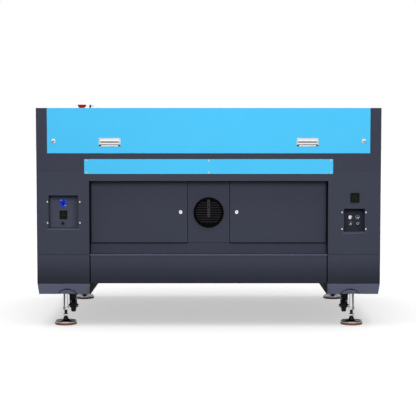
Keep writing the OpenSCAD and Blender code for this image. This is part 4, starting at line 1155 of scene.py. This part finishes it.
def make_floor():
    """Pale floor that glows a little, so that the shade under the machine stays soft.
    It lights the machine less than it looks, and its far sides are dark in reflections."""
    mesh = bpy.data.meshes.new("floor")
    bm = bmesh.new()
    bmesh.ops.create_grid(bm, x_segments=8, y_segments=8, size=40.0)
    bm.to_mesh(mesh)
    bm.free()
    floor = bpy.data.objects.new("floor", mesh)
    scene.collection.objects.link(floor)
    material = finish_of((0.9, 0.9, 0.9), 0.8, mottle=0.01, patch=2.0, grain=40.0, peel=0.02,
                         rough_spread=0.03, spec=0.0)
    tree, shader, add = links(material)

    def math_node(operation, a, b=0.0):
        return add("ShaderNodeMath", {"operation": operation}, {0: a, 1: b}).outputs[0]

    path = add("ShaderNodeLightPath")
    bounce = path.outputs["Is Diffuse Ray"]
    beside = add("ShaderNodeMapRange", inputs={"Value": math_node("ABSOLUTE", coordinate(add, "X")),
                                               "From Min": 0.8, "From Max": 1.2, "To Min": 0.0, "To Max": 0.9})
    kept = math_node("SUBTRACT", 1.0, math_node("MULTIPLY", beside.outputs[0], path.outputs["Is Glossy Ray"]))
    glow = add("ShaderNodeMapRange", inputs={"Value": bounce, "To Min": FLOOR_GLOW, "To Max": 0.0})
    dim = add("ShaderNodeMapRange", inputs={"Value": bounce, "To Min": 1.0, "To Max": FLOOR_BOUNCE})
    tree.links.new(math_node("MULTIPLY", glow.outputs[0], kept), shader.inputs["Emission Strength"])
    multiply_colour(material, math_node("MULTIPLY", dim.outputs[0], kept))
    shader.inputs["Emission Color"].default_value = (1.0, 1.0, 1.0, 1.0)
    mesh.materials.append(material)
    return floor


def lamp(name, kind, at, towards, energy, size=(1.0, 1.0), angle=0.0, apart_from=()):
    """A soft light aimed at a point; objects in apart_from stay out of it."""
    light = bpy.data.lights.new(name, kind)
    light.energy = energy
    if kind == "AREA":
        light.shape = "RECTANGLE"
        light.size, light.size_y = size
    else:
        light.angle = math.radians(angle)
    obj = bpy.data.objects.new(name, light)
    obj.location = at
    obj.rotation_euler = (Vector(towards) - Vector(at)).to_track_quat("-Z", "Y").to_euler()
    obj.visible_camera = False
    obj.visible_glossy = False
    scene.collection.objects.link(obj)
    if apart_from:
        group = bpy.data.collections.new(name + "_receivers")
        for other in apart_from:
            group.objects.link(other)
        obj.light_linking.receiver_collection = group
        for entry in group.collection_objects:
            entry.light_linking.link_state = "EXCLUDE"


def make_world():
    """White to the camera, white with dark sides in reflections, and a soft grey as a light."""
    scene.world = bpy.data.worlds.new("studio")
    tree, _, add = links(scene.world)
    path = add("ShaderNodeLightPath")
    aside = add("ShaderNodeMath", {"operation": "ABSOLUTE"}, {0: coordinate(add, "X", "Generated")})
    sides = add("ShaderNodeMapRange", {"interpolation_type": "SMOOTHSTEP"},
                {"Value": aside.outputs[0], "From Min": 0.35, "From Max": 0.8, "To Min": 1.0, "To Max": 0.06})
    seen = add("ShaderNodeMix", inputs={"Factor": path.outputs["Is Glossy Ray"], "A": 1.0, "B": sides.outputs[0]})
    level = add("ShaderNodeMix", inputs={"Factor": path.outputs["Is Diffuse Ray"], "A": seen.outputs["Result"],
                                         "B": SKY})
    tree.links.new(level.outputs["Result"], tree.nodes["Background"].inputs["Strength"])
    tree.nodes["Background"].inputs["Color"].default_value = (1.0, 1.0, 1.0, 1.0)


make_camera()
make_world()
floor = make_floor()
lamp("sun", "SUN", (0, 0.5, 3), (0, 0, 0), energy=1.2, angle=58.0)
lamp("key", "AREA", (-0.2, 4.4, 1.75), (0, 0.5, 0.75), energy=154.0, size=(3.0, 1.4), apart_from=[floor])
lamp("far_side", "AREA", (1.6, -4.2, 2.8), (0, -0.4, 0.7), energy=190.0, size=(3.0, 1.6), apart_from=[floor])
scene.view_settings.view_transform = "Standard"
scene.view_settings.look = "None"
